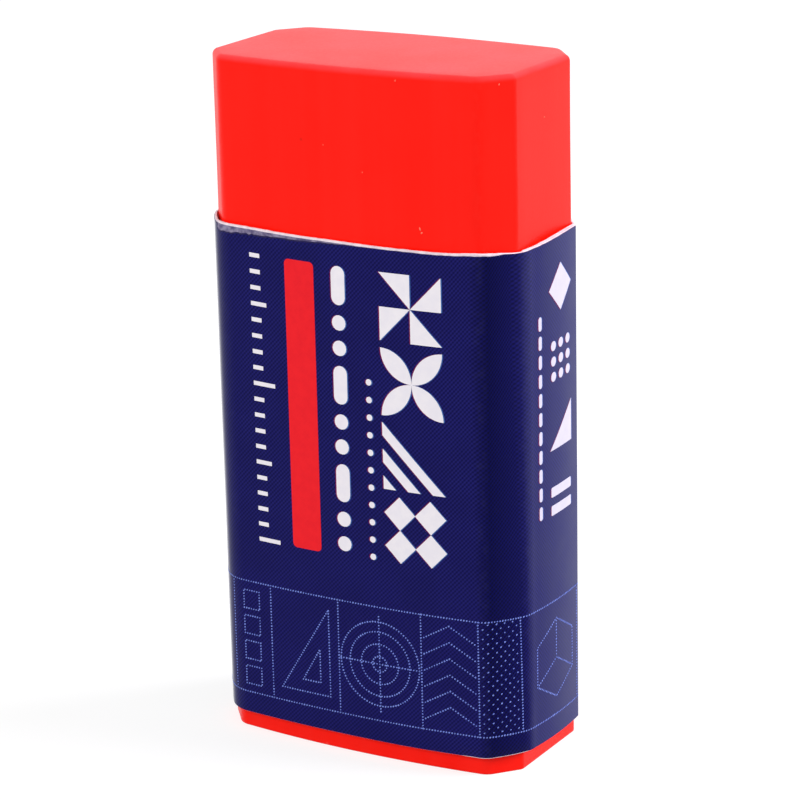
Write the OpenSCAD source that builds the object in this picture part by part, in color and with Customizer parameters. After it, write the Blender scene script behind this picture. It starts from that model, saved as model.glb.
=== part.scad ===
// Pencil eraser: a chamfered rubber block in a wrapped and glued card sleeve.
// The block stands on its foot. Its length runs along Z, its broad faces look along Y
// and its narrow sides look along X. All sizes are in millimetres.

/* [Rubber block] */
// Length of the block, from its foot to its top
block_length = 43; // [34:0.5:65]
// Width of the block across its narrow sides
block_width = 20.8; // [15:0.1:30]
// Depth of the block across the middle of its broad faces
block_depth = 11.5; // [9:0.1:16]
// Height of the crown of each broad face
face_crown = 0.56; // [0.1:0.02:1.2]
// Chamfer leg along a broad face
chamfer_x = 1.5; // [0.8:0.05:3]
// Chamfer leg along a narrow side
chamfer_y = 1.8; // [0.8:0.05:2.6]
// Radius of the edge between a broad face and a chamfer
broad_edge = 0.9; // [0.2:0.1:2]
// Radius of the edge between a chamfer and a narrow side
side_edge = 0.2; // [0.05:0.05:1]
// Radius of the rim round the top, which handling has softened
top_rim = 0.4; // [0.1:0.05:1]
// Radius of the rim round the foot, which is still crisp
foot_rim = 0.1; // [0.05:0.05:1]

/* [Card sleeve] */
// Thickness of the card
card = 0.18; // [0.15:0.01:0.5]
// Length of the sleeve along the block
sleeve_length = 31.4; // [15:0.1:32.5]
// Height of the sleeve's lower edge above the block's foot
sleeve_lift = 1.28; // [0.6:0.02:5]
// Gap between the card and the middle of the broad faces
face_gap = 0.17; // [0.1:0.01:0.5]
// Share of the block's crown that the card bends to: at 1 it follows it, lower is flatter
card_follow = 0.82; // [0.4:0.02:1]
// Gap between the glue flap and the narrow side under it
flap_gap = 0.08; // [0.04:0.01:0.3]
// Gap between the card and a chamfer, at the broad face
broad_fold_gap = 0.28; // [0.15:0.01:0.5]
// Gap between the card and a chamfer, at the narrow side
side_fold_gap = 0.06; // [0.05:0.01:0.4]
// Radius inside the folds beside the broad faces
broad_fold = 1.1; // [0.3:0.1:1.5]
// Radius inside the fold between the back and the glue flap
side_fold = 0.6; // [0.2:0.1:0.8]
// Radius inside the other folds beside the narrow sides, where the card lies less tight
slack_fold = 1.4; // [0.2:0.1:1.6]
// Distance from a fold to the free edge of the glue flap or of the panel over it
seam_margin = 0.1; // [0.05:0.05:1]

/* [Hidden] */

// Straight pieces that each kind of arc is drawn with
crown_steps = 10;
edge_steps = 5;
rim_steps = 5;
// Radius left on an edge that the rim has narrowed to a point
least_edge = 0.02;
// Height of the slices that the rims are built from
slice = 0.001;

// Half sizes of the block, with the shoulder where the crown of a broad face ends
half_width = block_width / 2;
half_depth = block_depth / 2;
shoulder = half_depth - face_crown;

// The two ends of the block's chamfer in the quarter at +X and +Y
chamfer_start = [half_width - chamfer_x, shoulder];
chamfer_end = [half_width, shoulder - chamfer_y];

// Radius of the block's crowned faces
crown_radius = bow(chamfer_start.x, face_crown);

// The block's chamfer as a line: the angle it looks along and its distance from the axis
chamfer_angle = facing(chamfer_start, chamfer_end);
chamfer_reach = heading(chamfer_angle) * chamfer_end;

// The card over that chamfer, a little further out at the broad face than at the narrow side
fold_start = chamfer_start + broad_fold_gap * heading(chamfer_angle);
fold_end = chamfer_end + side_fold_gap * heading(chamfer_angle);
fold_angle = facing(fold_start, fold_end);
fold_reach = heading(fold_angle) * fold_end;
panel_radius = bow(fold_start.x, card_follow * face_crown);

// Inner face of the glue flap, and of the panel that is glued over it
flap_x = half_width + flap_gap;
panel_x = flap_x + card;

// Direction at an angle
function heading(angle) = [cos(angle), sin(angle)];

// Radius of an arc, from half its chord and its rise
function bow(half_chord, rise) = (half_chord ^ 2 + rise ^ 2) / (2 * rise);

// Angle at which the line from one point to another faces outwards
function facing(from, to) = atan2(to.x - from.x, from.y - to.y);

// Points of an arc about a centre, from one angle to another
function arc(centre, radius, from, to, steps) =
    [for (i = [0 : steps]) centre + radius * heading(from + (to - from) * i / steps)];

// One quarter of an outline, from the middle of a crowned broad face, round the chamfer, to the narrow side
function quarter(width, depth, crown, angle, reach, broad_radius, side_radius) =
    let (
        normal = heading(angle),
        crown_centre = [0, depth - crown],
        crown_end = angle + acos((reach - broad_radius - normal * crown_centre) / (crown - broad_radius)),
        broad_centre = crown_centre + (crown - broad_radius) * heading(crown_end),
        side_x = width - side_radius,
        side_centre = [side_x, (reach - side_radius - normal.x * side_x) / normal.y]
    )
    concat(
        arc(crown_centre, crown, 90, crown_end, crown_steps),
        arc(broad_centre, broad_radius, crown_end, angle, edge_steps),
        arc(side_centre, side_radius, angle, 0, edge_steps)
    );

// Helpers that turn one quarter into the others
function flipped(points, x, y) = [for (p = points) [p.x * x, p.y * y]];
function backwards(points) = [for (i = [len(points) - 1 : -1 : 0]) points[i]];
function tail(points) = [for (i = [1 : len(points) - 1]) points[i]];
function last(points) = points[len(points) - 1];

// Closed outline from its quarters, with the points of any step in the narrow side at +X
function ring(back_right, left, front_right, step = []) = concat(
    backwards(back_right),
    tail(flipped(left, -1, 1)),
    backwards(flipped(left, -1, -1)),
    tail(flipped(front_right, 1, -1)),
    step
);

// Outline of the block, moved inwards by an inset
function block_outline(inset) =
    let (
        corner = quarter(
            half_width - inset,
            half_depth - inset,
            crown_radius - inset,
            chamfer_angle,
            chamfer_reach - inset,
            max(broad_edge - inset, least_edge),
            max(side_edge - inset, least_edge)
        )
    )
    ring(corner, corner, corner);

// One quarter of the card, whose side lies at the given width, moved outwards by a growth
function card_quarter(width, fold, growth) = quarter(
    width + growth,
    half_depth + face_gap + growth,
    panel_radius + growth,
    fold_angle,
    fold_reach + growth,
    broad_fold + growth,
    fold + growth
);

// The two kinds of quarter: at the level of the glue flap, and at that of the panel over it
function flap_quarter(growth) = card_quarter(flap_x, side_fold, growth);
function panel_quarter(growth) = card_quarter(panel_x, slack_fold, growth);

// Inner face of the card: the free edge of the glue flap is a step near the front fold
function card_inside() =
    let (
        over_flap = panel_quarter(0),
        flap_edge = seam_margin - last(over_flap).y
    )
    ring(flap_quarter(0), over_flap, over_flap, [[panel_x, flap_edge], [flap_x, flap_edge]]);

// Outer face of the card: the free edge of the panel over the flap is a step near the back fold
function card_outside() =
    let (
        under_panel = flap_quarter(card),
        over_flap = panel_quarter(card),
        panel_edge = last(under_panel).y - seam_margin
    )
    ring(under_panel, over_flap, over_flap, [[panel_x + card, panel_edge], [flap_x + card, panel_edge]]);

// Thin slices of the block's rim, from the flat of its foot upwards: a quarter round of the given radius
module rim_slices(radius) {
    for (i = [0 : rim_steps]) {
        angle = 90 * i / rim_steps;
        translate([0, 0, radius * (1 - cos(angle))])
            linear_extrude(slice)
                polygon(block_outline(radius * (1 - sin(angle))));
    }
}

// Bar of rubber, stretched between the rim of its foot and the rim of its top
module eraser_block() {
    color("orangered")
        hull() {
            rim_slices(foot_rim);
            translate([0, 0, block_length])
                mirror([0, 0, 1])
                    rim_slices(top_rim);
        }
}

// Strip of card wrapped once round the block, its last panel glued over the flap at +X
module card_sleeve() {
    color("midnightblue")
        translate([0, 0, sleeve_lift])
            linear_extrude(sleeve_length)
                difference() {
                    polygon(card_outside());
                    polygon(card_inside());
                }
}

eraser_block();
card_sleeve();
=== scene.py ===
"""Pencil eraser: a bar of rubber in a wrapped and glued card sleeve, in a pale studio.

The rubber bar and the card sleeve stand for the two solids of the frame, at the same place and size.
The card is a flat blank that is printed first and then wrapped round the bar, so its print is laid out
flat, in millimetres along the strip and up it, and every point of it goes through the same wrap.
"""

import bisect
import logging
import math
from collections.abc import Callable, Iterable
from dataclasses import dataclass, field, replace
from enum import Enum

import bmesh
import bpy
from mathutils import Matrix, Vector, noise


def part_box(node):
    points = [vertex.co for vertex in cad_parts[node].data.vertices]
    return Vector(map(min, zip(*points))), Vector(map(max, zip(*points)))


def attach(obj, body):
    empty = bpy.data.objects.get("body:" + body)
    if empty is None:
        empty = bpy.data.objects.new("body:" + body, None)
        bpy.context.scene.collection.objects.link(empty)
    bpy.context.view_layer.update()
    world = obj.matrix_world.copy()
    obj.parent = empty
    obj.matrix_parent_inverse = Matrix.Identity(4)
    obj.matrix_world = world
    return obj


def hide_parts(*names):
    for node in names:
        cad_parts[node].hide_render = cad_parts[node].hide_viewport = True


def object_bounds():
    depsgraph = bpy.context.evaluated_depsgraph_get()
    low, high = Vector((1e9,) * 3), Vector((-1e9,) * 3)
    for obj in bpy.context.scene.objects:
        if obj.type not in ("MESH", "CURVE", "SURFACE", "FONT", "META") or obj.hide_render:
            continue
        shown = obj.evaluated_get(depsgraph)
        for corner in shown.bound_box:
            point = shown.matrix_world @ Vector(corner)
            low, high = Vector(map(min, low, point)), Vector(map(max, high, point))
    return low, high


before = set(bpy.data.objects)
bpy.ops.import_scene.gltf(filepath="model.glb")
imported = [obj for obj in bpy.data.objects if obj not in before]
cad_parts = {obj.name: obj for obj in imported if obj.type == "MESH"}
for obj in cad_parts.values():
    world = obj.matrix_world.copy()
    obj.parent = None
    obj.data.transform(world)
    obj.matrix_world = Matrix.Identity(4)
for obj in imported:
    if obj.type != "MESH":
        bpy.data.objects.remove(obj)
CAD_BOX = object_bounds()

log = logging.getLogger("eraser")

Point = tuple[float, float]
Polygon = list[Point]
Colour = tuple[float, float, float, float]
Socket = bpy.types.NodeSocket

# Metres in a millimetre
MM = 0.001
# Name of the map that holds a point's place on the flat blank, and the blank's span on that map
BLANK_MAP = "blank"
BLANK_SPAN = 70.0
# Vertex attribute that is 1 on a fold or a rim and 0 away from it
EDGE_ATTRIBUTE = "edge"
# Vertex attribute for painted shade on the card's chamfers: 1 where a chamfer leaves the broad face, and
# less across it
CHAMFER_SHADE_ATTRIBUTE = "crease"
# Vertex attribute for the share of painted sheen that lightens the card's print
SHEEN_ATTRIBUTE = "painted_sheen"
# Vertex attribute that is 1 on the top of the bar
TOP_ATTRIBUTE = "top"


def heading(angle: float) -> Vector:
    """Unit vector at an angle in radians, counter-clockwise from +X."""
    return Vector((math.cos(angle), math.sin(angle)))


def spaced(first: float, last: float, step: float) -> list[float]:
    """Values from first to last, both included, at an even spacing of step or a little less."""
    return split(first, last, max(1, math.ceil(abs(last - first) / step - 1e-6)))


def split(first: float, last: float, count: int) -> list[float]:
    """Values from first to last, both included, at a given count of even steps."""
    return [first + (last - first) * i / count for i in range(count + 1)]


def smooth_step(value: float, low: float, high: float) -> float:
    """0 at or below low, 1 at or above high, and an even curve between them."""
    t = min(max((value - low) / (high - low), 0.0), 1.0)
    return t * t * (3 - 2 * t)


def hump(value: float, rise: Point, fall: Point) -> float:
    """0 outside two ranges and 1 between them, with an even curve up the first and down the second."""
    return smooth_step(value, *rise) * (1 - smooth_step(value, *fall))


def grey(share: float) -> Colour:
    """Neutral grey for a shader socket, in linear light."""
    return (share, share, share, 1.0)


def paint(red: int, green: int, blue: int) -> Colour:
    """Colour for a shader socket, from the red, green and blue of a swatch on screen.

    Args:
        red: Red of the swatch, 0 to 255.
        green: Green of the swatch, 0 to 255.
        blue: Blue of the swatch, 0 to 255.

    Returns:
        The colour in linear light, with an alpha of 1.
    """
    def linear(channel: int) -> float:
        """One channel in linear light."""
        share = channel / 255
        return share / 12.92 if share <= 0.04045 else ((share + 0.055) / 1.055) ** 2.4

    return (linear(red), linear(green), linear(blue), 1.0)


@dataclass(frozen=True)
class Station:
    """A point of a section's outline.

    Attributes:
        point: The point, in millimetres.
        normal: Direction that looks outwards there.
        edge: 1 in the middle of a rounded edge, and 0 off it.
        crease: Share of painted shade on the card's chamfer: 1 where a chamfer leaves the broad face, less
            across it, and 0 on the faces.
        along: Distance from the start of the strip, where the outline is a strip.
    """

    point: Vector
    normal: Vector
    edge: float = 0.0
    crease: float = 0.0
    along: float = 0.0

    def flipped(self, x: int, y: int) -> "Station":
        """The station in another quarter, with x and y as 1 or -1."""
        signs = Vector((x, y))
        return replace(self, point=self.point * signs, normal=self.normal * signs)

    def toward(self, other: "Station", share: float) -> "Station":
        """The station that lies at a share of the way to another one."""
        return Station(
            self.point.lerp(other.point, share),
            self.normal.lerp(other.normal, share).normalized(),
            self.edge + (other.edge - self.edge) * share,
            self.crease + (other.crease - self.crease) * share,
        )


@dataclass(frozen=True)
class Section:
    """Crowned and chamfered outline, by the quarter at +X and +Y, in millimetres and radians.

    Attributes:
        width: Half the width, across the narrow sides.
        depth: Half the depth, across the middle of the broad faces.
        crown: Radius of the broad faces.
        facing: Angle that the chamfer looks along.
        reach: Distance of the chamfer's plane from the middle.
        broad_edge: Radius between a broad face and a chamfer.
        side_edge: Radius between a chamfer and a narrow side.
        swell: Angle by which a chamfer that swells out leans at either end.
    """

    width: float
    depth: float
    crown: float
    facing: float
    reach: float
    broad_edge: float
    side_edge: float
    swell: float = 0.0

    # Radius left on an edge that an inset has narrowed to a point
    LEAST_EDGE = 0.02
    # Painted-shade mark where a chamfer meets the rounded edge beside the narrow side
    SHADE_AT_SIDE = 0.6

    def grown(self, by: float) -> "Section":
        """The same outline moved outwards by a distance, or inwards by a negative one."""
        return Section(
            self.width + by,
            self.depth + by,
            self.crown + by,
            self.facing,
            self.reach + by,
            max(self.broad_edge + by, self.LEAST_EDGE),
            max(self.side_edge + by, self.LEAST_EDGE),
            self.swell,
        )

    def quarter(self, crown_steps: int, edge_steps: int, chamfer_steps: int) -> list[Station]:
        """Stations from the middle of the broad face, round the chamfer, to the narrow side.

        Args:
            crown_steps: Steps along the broad face.
            edge_steps: Steps round each rounded edge.
            chamfer_steps: Steps across the flat of the chamfer.

        Returns:
            The stations of the quarter at +X and +Y, both ends included.
        """
        normal = heading(self.facing)
        crown_centre = Vector((0, self.depth - self.crown))
        cosine = (self.reach - self.broad_edge - normal.dot(crown_centre)) / (self.crown - self.broad_edge)
        crown_end = self.facing + math.acos(cosine)
        broad_centre = crown_centre + (self.crown - self.broad_edge) * heading(crown_end)
        side_x = self.width - self.side_edge
        side_centre = Vector((side_x, (self.reach - self.side_edge - normal.x * side_x) / normal.y))
        start, end = self.facing + self.swell, self.facing - self.swell

        broad = self.arc(broad_centre, self.broad_edge, (crown_end, start), edge_steps, 1.0, (0.0, 1.0))
        after = self.arc(side_centre, self.side_edge, (end, 0.0), edge_steps, 1.0, (self.SHADE_AT_SIDE, 0.0))
        stations = self.arc(crown_centre, self.crown, (math.pi / 2, crown_end), crown_steps) + broad[1:]
        first, run = stations[-1].point, after[0].point - stations[-1].point
        slope = math.tan(self.swell)
        for share in split(0.0, 1.0, chamfer_steps)[1:-1]:
            lean = slope * (1 - 2 * share)
            point = first + run * share + normal * run.length * slope * share * (1 - share)
            out = (normal - run.normalized() * lean).normalized()
            stations.append(Station(point, out, crease=1 - (1 - self.SHADE_AT_SIDE) * share))
        return stations + after

    @staticmethod
    def arc(
        centre: Vector, radius: float, turn: Point, steps: int, edge: float = 0.0, crease: Point = (0.0, 0.0)
    ) -> list[Station]:
        """Stations of an arc.

        Args:
            centre: Centre of the arc.
            radius: Its radius.
            turn: Angles that it starts and ends at.
            steps: Steps between the two.
            edge: Edge mark in its middle, which fades to 0 at its ends.
            crease: Painted-shade marks at its start and its end.

        Returns:
            The stations, both ends included.
        """
        found = []
        for share, angle, mark in zip(split(0.0, 1.0, steps), split(*turn, steps), split(*crease, steps)):
            out = heading(angle)
            found.append(Station(centre + radius * out, out, edge * math.sin(math.pi * share), mark))
        return found


class Graph:
    """Nodes that are being wired into one tree."""

    def __init__(self, tree: bpy.types.NodeTree) -> None:
        """Start with an empty tree."""
        self.tree = tree
        self.tree.nodes.clear()

    def add(self, kind: str, inputs: dict | None = None, **settings: object) -> bpy.types.Node:
        """Add a node.

        Args:
            kind: Blender's name for the kind of node.
            inputs: What goes into its sockets, by name or number: another socket or a plain value.
            settings: The node's own settings.

        Returns:
            The new node.
        """
        node = self.tree.nodes.new(kind)
        for name, value in settings.items():
            setattr(node, name, value)
        for name, value in (inputs or {}).items():
            if isinstance(value, Socket):
                self.tree.links.new(value, node.inputs[name])
            else:
                node.inputs[name].default_value = value
        return node

    def math(self, operation: str, *values: Socket | float) -> Socket:
        """Result of a Math node on sockets or numbers."""
        return self.add("ShaderNodeMath", dict(enumerate(values)), operation=operation).outputs[0]

    def ramp(self, value: Socket, low: float, high: float) -> Socket:
        """Value carried smoothly from the range low to high over to the range 0 to 1."""
        ends = {"Value": value, "From Min": low, "From Max": high}
        return self.add("ShaderNodeMapRange", ends, interpolation_type="SMOOTHSTEP").outputs["Result"]

    def spread(self, mask: Socket, middle: float, width: float) -> Socket:
        """Value that a mask spreads over a width, evenly about a middle."""
        return self.math("MULTIPLY_ADD", mask, width, middle - width / 2)

    def mix(self, share: Socket, first: Socket | Colour, second: Socket | Colour) -> Socket:
        """Colour between two colours.

        Args:
            share: How far it lies towards the second, which varies over the surface.
            first: The colour at a share of 0.
            second: The colour at a share of 1.

        Returns:
            The mixed colour.
        """
        node = self.add("ShaderNodeMix", data_type="RGBA")
        for name, value in (("Factor_Float", share), ("A_Color", first), ("B_Color", second)):
            socket = next(s for s in node.inputs if s.identifier == name)
            if isinstance(value, Socket):
                self.tree.links.new(value, socket)
            else:
                socket.default_value = value
        return next(s for s in node.outputs if s.identifier == "Result_Color")

    def tint(self, colour: Socket | Colour, mask: Socket, share: float, other: Colour) -> Socket:
        """Colour that goes over to another one by a share of a mask."""
        return self.mix(self.math("MULTIPLY", mask, share), colour, other)

    def place(self) -> Socket:
        """Place on the piece, in metres."""
        return self.add("ShaderNodeTexCoord").outputs["Object"]

    def blank(self) -> Socket:
        """Place on the flat blank of card, as a share of its span."""
        return self.add("ShaderNodeUVMap", uv_map=BLANK_MAP).outputs[0]

    def mark(self, attribute: str) -> Socket:
        """Value of a vertex attribute."""
        return self.add("ShaderNodeAttribute", attribute_name=attribute).outputs["Fac"]

    def bump(self, height: Socket, strength: float, distance: float) -> Socket:
        """Normal of a fine relief, from its height."""
        relief = {"Strength": strength, "Distance": distance, "Height": height}
        return self.add("ShaderNodeBump", relief).outputs[0]

    def effect(self, name: str, place: Socket, **values: Socket | float) -> Socket:
        """What one of the shared effects puts out at a place, with its own values."""
        group = bpy.data.node_groups[name]
        return self.add("ShaderNodeGroup", {"Vector": place, **values}, node_tree=group).outputs[0]


class Effect(Graph):
    """A shader node group that finishes share, from a place and named values to one mask or height."""

    def __init__(self, name: str, output: str, **values: float) -> None:
        """Start the group.

        Args:
            name: Name of the effect.
            output: Name of what it puts out.
            values: Its inputs besides the place, with their usual values.
        """
        super().__init__(bpy.data.node_groups.new(name, "ShaderNodeTree"))
        sockets = self.tree.interface
        sockets.new_socket(name="Vector", in_out="INPUT", socket_type="NodeSocketVector")
        for key, value in values.items():
            socket = sockets.new_socket(name=key, in_out="INPUT", socket_type="NodeSocketFloat")
            socket.default_value = value
        sockets.new_socket(name=output, in_out="OUTPUT", socket_type="NodeSocketFloat")
        self.inputs = self.add("NodeGroupInput").outputs

    def cloud(self, place: Socket | None = None, **values: Socket | float) -> Socket:
        """Noise of the group's scale.

        Args:
            place: Where it is read, if not at the group's own place.
            values: The other values of the noise.

        Returns:
            The noise, from 0 to 1.
        """
        where = self.inputs["Vector"] if place is None else place
        inputs = {"Vector": where, "Scale": self.inputs["Scale"], **values}
        return self.add("ShaderNodeTexNoise", inputs).outputs[0]

    def finish(self, value: Socket) -> None:
        """End the group in the value that it puts out."""
        self.add("NodeGroupOutput", {0: value})


def make_mottle() -> None:
    """Soft cloudy variation: a mask that drifts between 0 and 1 over the surface."""
    effect = Effect("mottle", "Mask", Scale=200.0, Detail=3.0)
    effect.finish(effect.ramp(effect.cloud(Detail=effect.inputs["Detail"]), 0.3, 0.7))


def make_streaks() -> None:
    """Faint drawn lines that run up the piece: a mask that varies across it and hardly along it."""
    effect = Effect("streaks", "Mask", Scale=900.0, Stretch=0.03)
    size = effect.add("ShaderNodeCombineXYZ", {0: 1.0, 1: 1.0, 2: effect.inputs["Stretch"]}).outputs[0]
    drawn = effect.add("ShaderNodeVectorMath", {0: effect.inputs["Vector"], 1: size}, operation="MULTIPLY")
    effect.finish(effect.ramp(effect.cloud(drawn.outputs[0], Detail=2.0), 0.35, 0.75))


def make_specks() -> None:
    """Scattered small specks: a mask that is 1 on a speck and 0 between them."""
    effect = Effect("specks", "Mask", Scale=600.0, Radius=0.12, Share=0.2)
    inputs = effect.inputs
    cells = effect.add("ShaderNodeTexVoronoi", {"Vector": inputs["Vector"], "Scale": inputs["Scale"]})
    off = effect.math("DIVIDE", cells.outputs["Distance"], inputs["Radius"])
    blot = effect.ramp(effect.math("SUBTRACT", 1.0, off), 0.0, 0.6)
    chosen = effect.add("ShaderNodeSeparateColor", {0: cells.outputs["Color"]}).outputs[0]
    kept = effect.math("LESS_THAN", chosen, inputs["Share"])
    effect.finish(effect.math("MULTIPLY", blot, kept))


def make_grain() -> None:
    """Fine surface grain: a height for a bump, by which the roughness varies too."""
    effect = Effect("grain", "Height", Scale=9000.0, Roughness=0.6)
    effect.finish(effect.cloud(Detail=4.0, Roughness=effect.inputs["Roughness"]))


def make_screen() -> None:
    """Printer's halftone screen on the flat blank: dots on a slanting grid, as a mask."""
    effect = Effect("screen", "Mask", Pitch=0.21, Slant=45.0)
    inputs = effect.inputs
    wide = effect.add("ShaderNodeVectorMath", {0: inputs["Vector"], "Scale": BLANK_SPAN}, operation="SCALE")
    turn = {"Vector": wide.outputs[0], "Angle": effect.math("RADIANS", inputs["Slant"])}
    turned = effect.add("ShaderNodeVectorRotate", turn, rotation_type="Z_AXIS")
    parts = effect.add("ShaderNodeSeparateXYZ", {0: turned.outputs[0]}).outputs
    waves = []
    for part in (parts[0], parts[1]):
        cycles = effect.math("DIVIDE", part, inputs["Pitch"])
        waves.append(effect.math("SINE", effect.math("MULTIPLY", cycles, math.tau)))
    grid = effect.math("MULTIPLY_ADD", waves[1], 0.6, waves[0])
    effect.finish(effect.ramp(grid, -1.5, 1.5))


def make_wear() -> None:
    """Rubbed edges: a mask that is broken up by noise, and strongest on folds and rims."""
    effect = Effect("wear", "Mask", Edge=0.0, Scale=1500.0, Amount=0.5)
    patchy = effect.ramp(effect.cloud(Detail=5.0), 0.42, 0.72)
    rubbed = effect.math("MULTIPLY", patchy, effect.inputs["Edge"])
    effect.finish(effect.math("MULTIPLY", rubbed, effect.inputs["Amount"]))


def make_shared_effects() -> None:
    """Build each effect that the finishes share, once."""
    for make in (make_mottle, make_streaks, make_specks, make_grain, make_screen, make_wear):
        make()


def surface(graph: Graph, name: str, **values: Socket | float | Colour) -> None:
    """Finish a material's tree with its Principled shader.

    Args:
        graph: The material's graph.
        name: Name of the shader node.
        values: Its inputs, with an underscore for each space in a socket's name.
    """
    inputs = {key.replace("_", " "): value for key, value in values.items()}
    shader = graph.add("ShaderNodeBsdfPrincipled", inputs, name=name)
    graph.add("ShaderNodeOutputMaterial", {"Surface": shader.outputs[0]})


def new_material(name: str) -> tuple[bpy.types.Material, Graph]:
    """An empty node material and its graph."""
    material = bpy.data.materials.new(name)
    material.use_nodes = True
    return material, Graph(material.node_tree)


@dataclass(frozen=True)
class RubberFinish:
    """Smooth moulded rubber, with faint drawn streaks, specks, paler rubbed rims, and dust with a painted
    sheen on its top.
    """

    name: str = "red_rubber_finish"
    colour: Colour = paint(255, 24, 10)
    pale: Colour = paint(255, 96, 84)
    deep: Colour = paint(251, 19, 6)
    speck: Colour = paint(190, 20, 14)
    dust_and_sheen: Colour = paint(255, 196, 222)
    roughness: float = 0.38
    specular: float = 0.14

    # Shares by which clouds, drawn lines and specks tint the colour
    CLOUD_SHARE = 0.45
    LINE_SHARE = 0.03
    SPECK_SHARE = 0.5
    # Share of the dust and painted sheen on the top, and how far it and the roughness spread
    DUST_AND_SHEEN = 0.05
    DUST_AND_SHEEN_SPREAD = 0.03
    ROUGHNESS_SPREAD = 0.12
    # Height of the drawn lines, as a share of the grain's
    LINE_HEIGHT = 0.5

    def material(self) -> bpy.types.Material:
        """The rubber's material."""
        material, graph = new_material(self.name)
        place, edge, top = graph.place(), graph.mark(EDGE_ATTRIBUTE), graph.mark(TOP_ATTRIBUTE)
        cloud = graph.effect("mottle", place, Scale=260.0, Detail=3.0)
        lines = graph.effect("streaks", place, Scale=700.0, Stretch=0.02)
        dark = graph.effect("specks", place, Scale=700.0, Radius=0.13, Share=0.22)
        light = graph.effect("specks", place, Scale=420.0, Radius=0.07, Share=0.12)
        rubbed = graph.effect("wear", place, Edge=edge, Scale=2600.0, Amount=0.03)
        grain = graph.effect("grain", place, Scale=5200.0, Roughness=0.6)

        colour = graph.tint(self.colour, cloud, self.CLOUD_SHARE, self.deep)
        colour = graph.tint(colour, lines, self.LINE_SHARE, self.pale)
        colour = graph.tint(colour, dark, self.SPECK_SHARE, self.speck)
        colour = graph.tint(colour, light, self.SPECK_SHARE, self.pale)
        colour = graph.mix(rubbed, colour, self.pale)
        # Dust and painted sheen: the top goes paler, partly for dust and partly as a painted highlight
        dust_and_sheen_share = graph.math("MULTIPLY", top, graph.spread(cloud, self.DUST_AND_SHEEN, self.DUST_AND_SHEEN_SPREAD))
        height = graph.math("MULTIPLY_ADD", lines, self.LINE_HEIGHT, grain)
        surface(
            graph,
            "rubber",
            Base_Color=graph.mix(dust_and_sheen_share, colour, self.dust_and_sheen),
            Roughness=graph.spread(grain, self.roughness, self.ROUGHNESS_SPREAD),
            Normal=graph.bump(height, strength=0.05, distance=0.0001),
            Specular_IOR_Level=self.specular,
        )
        return material


@dataclass(frozen=True)
class PrintedFinish:
    """Card that is printed navy through a fine screen, under a satin varnish, with painted shade and a
    painted sheen.
    """

    colour: Colour = paint(7, 6, 66)
    dots: Colour = paint(28, 27, 104)
    deep: Colour = paint(6, 4, 56)
    painted_shade: Colour = paint(0, 0, 36)
    painted_shade_dots: Colour = paint(2, 4, 80)
    painted_sheen_colour: Colour = paint(190, 196, 228)
    scuff: Colour = paint(120, 118, 158)
    roughness: float = 0.14
    specular: float = 0.055

    # Share by which clouds tint the colour, and how far the painted sheen and the roughness spread
    CLOUD_SHARE = 0.2
    SHEEN_SPREAD = 0.3
    ROUGHNESS_SPREAD = 0.08

    def material(self) -> bpy.types.Material:
        """The printed face's material."""
        material, graph = new_material("navy_print_finish")
        place, edge = graph.place(), graph.mark(EDGE_ATTRIBUTE)
        crease, painted_sheen = graph.mark(CHAMFER_SHADE_ATTRIBUTE), graph.mark(SHEEN_ATTRIBUTE)
        screen = graph.effect("screen", graph.blank(), Pitch=0.192, Slant=45.0)
        cloud = graph.effect("mottle", place, Scale=420.0, Detail=4.0)
        rubbed = graph.effect("wear", place, Edge=edge, Scale=2100.0, Amount=0.02)
        grain = graph.effect("grain", place, Scale=7000.0, Roughness=0.55)

        # Painted shade: the print goes darker over the chamfers, as far as the crease mark reaches
        between = graph.mix(crease, self.colour, self.painted_shade)
        dots = graph.mix(crease, self.dots, self.painted_shade_dots)
        colour = graph.tint(graph.mix(screen, between, dots), cloud, self.CLOUD_SHARE, self.deep)
        colour = graph.mix(rubbed, colour, self.scuff)
        # Painted sheen: the print goes paler, in clouded patches, where the sheen mark is set
        patchy = graph.math("MULTIPLY", painted_sheen, graph.spread(cloud, 1.0, self.SHEEN_SPREAD))
        surface(
            graph,
            "print",
            Base_Color=graph.mix(patchy, colour, self.painted_sheen_colour),
            Roughness=graph.spread(grain, self.roughness, self.ROUGHNESS_SPREAD),
            Normal=graph.bump(grain, strength=0.03, distance=0.00005),
            Specular_IOR_Level=self.specular,
        )
        return material


@dataclass(frozen=True)
class BoardFinish:
    """Bare paperboard, with its fibres.

    Attributes:
        name: Name of the material.
        colour: Colour of the board.
        fibre: Colour of the fibres that stand out of it.
        relief: Strength of the fibres' relief.
    """

    name: str
    colour: Colour
    fibre: Colour
    relief: float = 0.25

    ROUGHNESS = 0.85
    ROUGHNESS_SPREAD = 0.2

    def material(self) -> bpy.types.Material:
        """The board's material."""
        material, graph = new_material(self.name)
        place = graph.place()
        cloud = graph.effect("mottle", place, Scale=2600.0, Detail=5.0)
        grain = graph.effect("grain", place, Scale=9000.0, Roughness=0.7)
        surface(
            graph,
            "board",
            Base_Color=graph.mix(cloud, self.colour, self.fibre),
            Roughness=graph.spread(grain, self.ROUGHNESS, self.ROUGHNESS_SPREAD),
            Normal=graph.bump(grain, strength=self.relief, distance=0.00008),
        )
        return material


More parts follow.
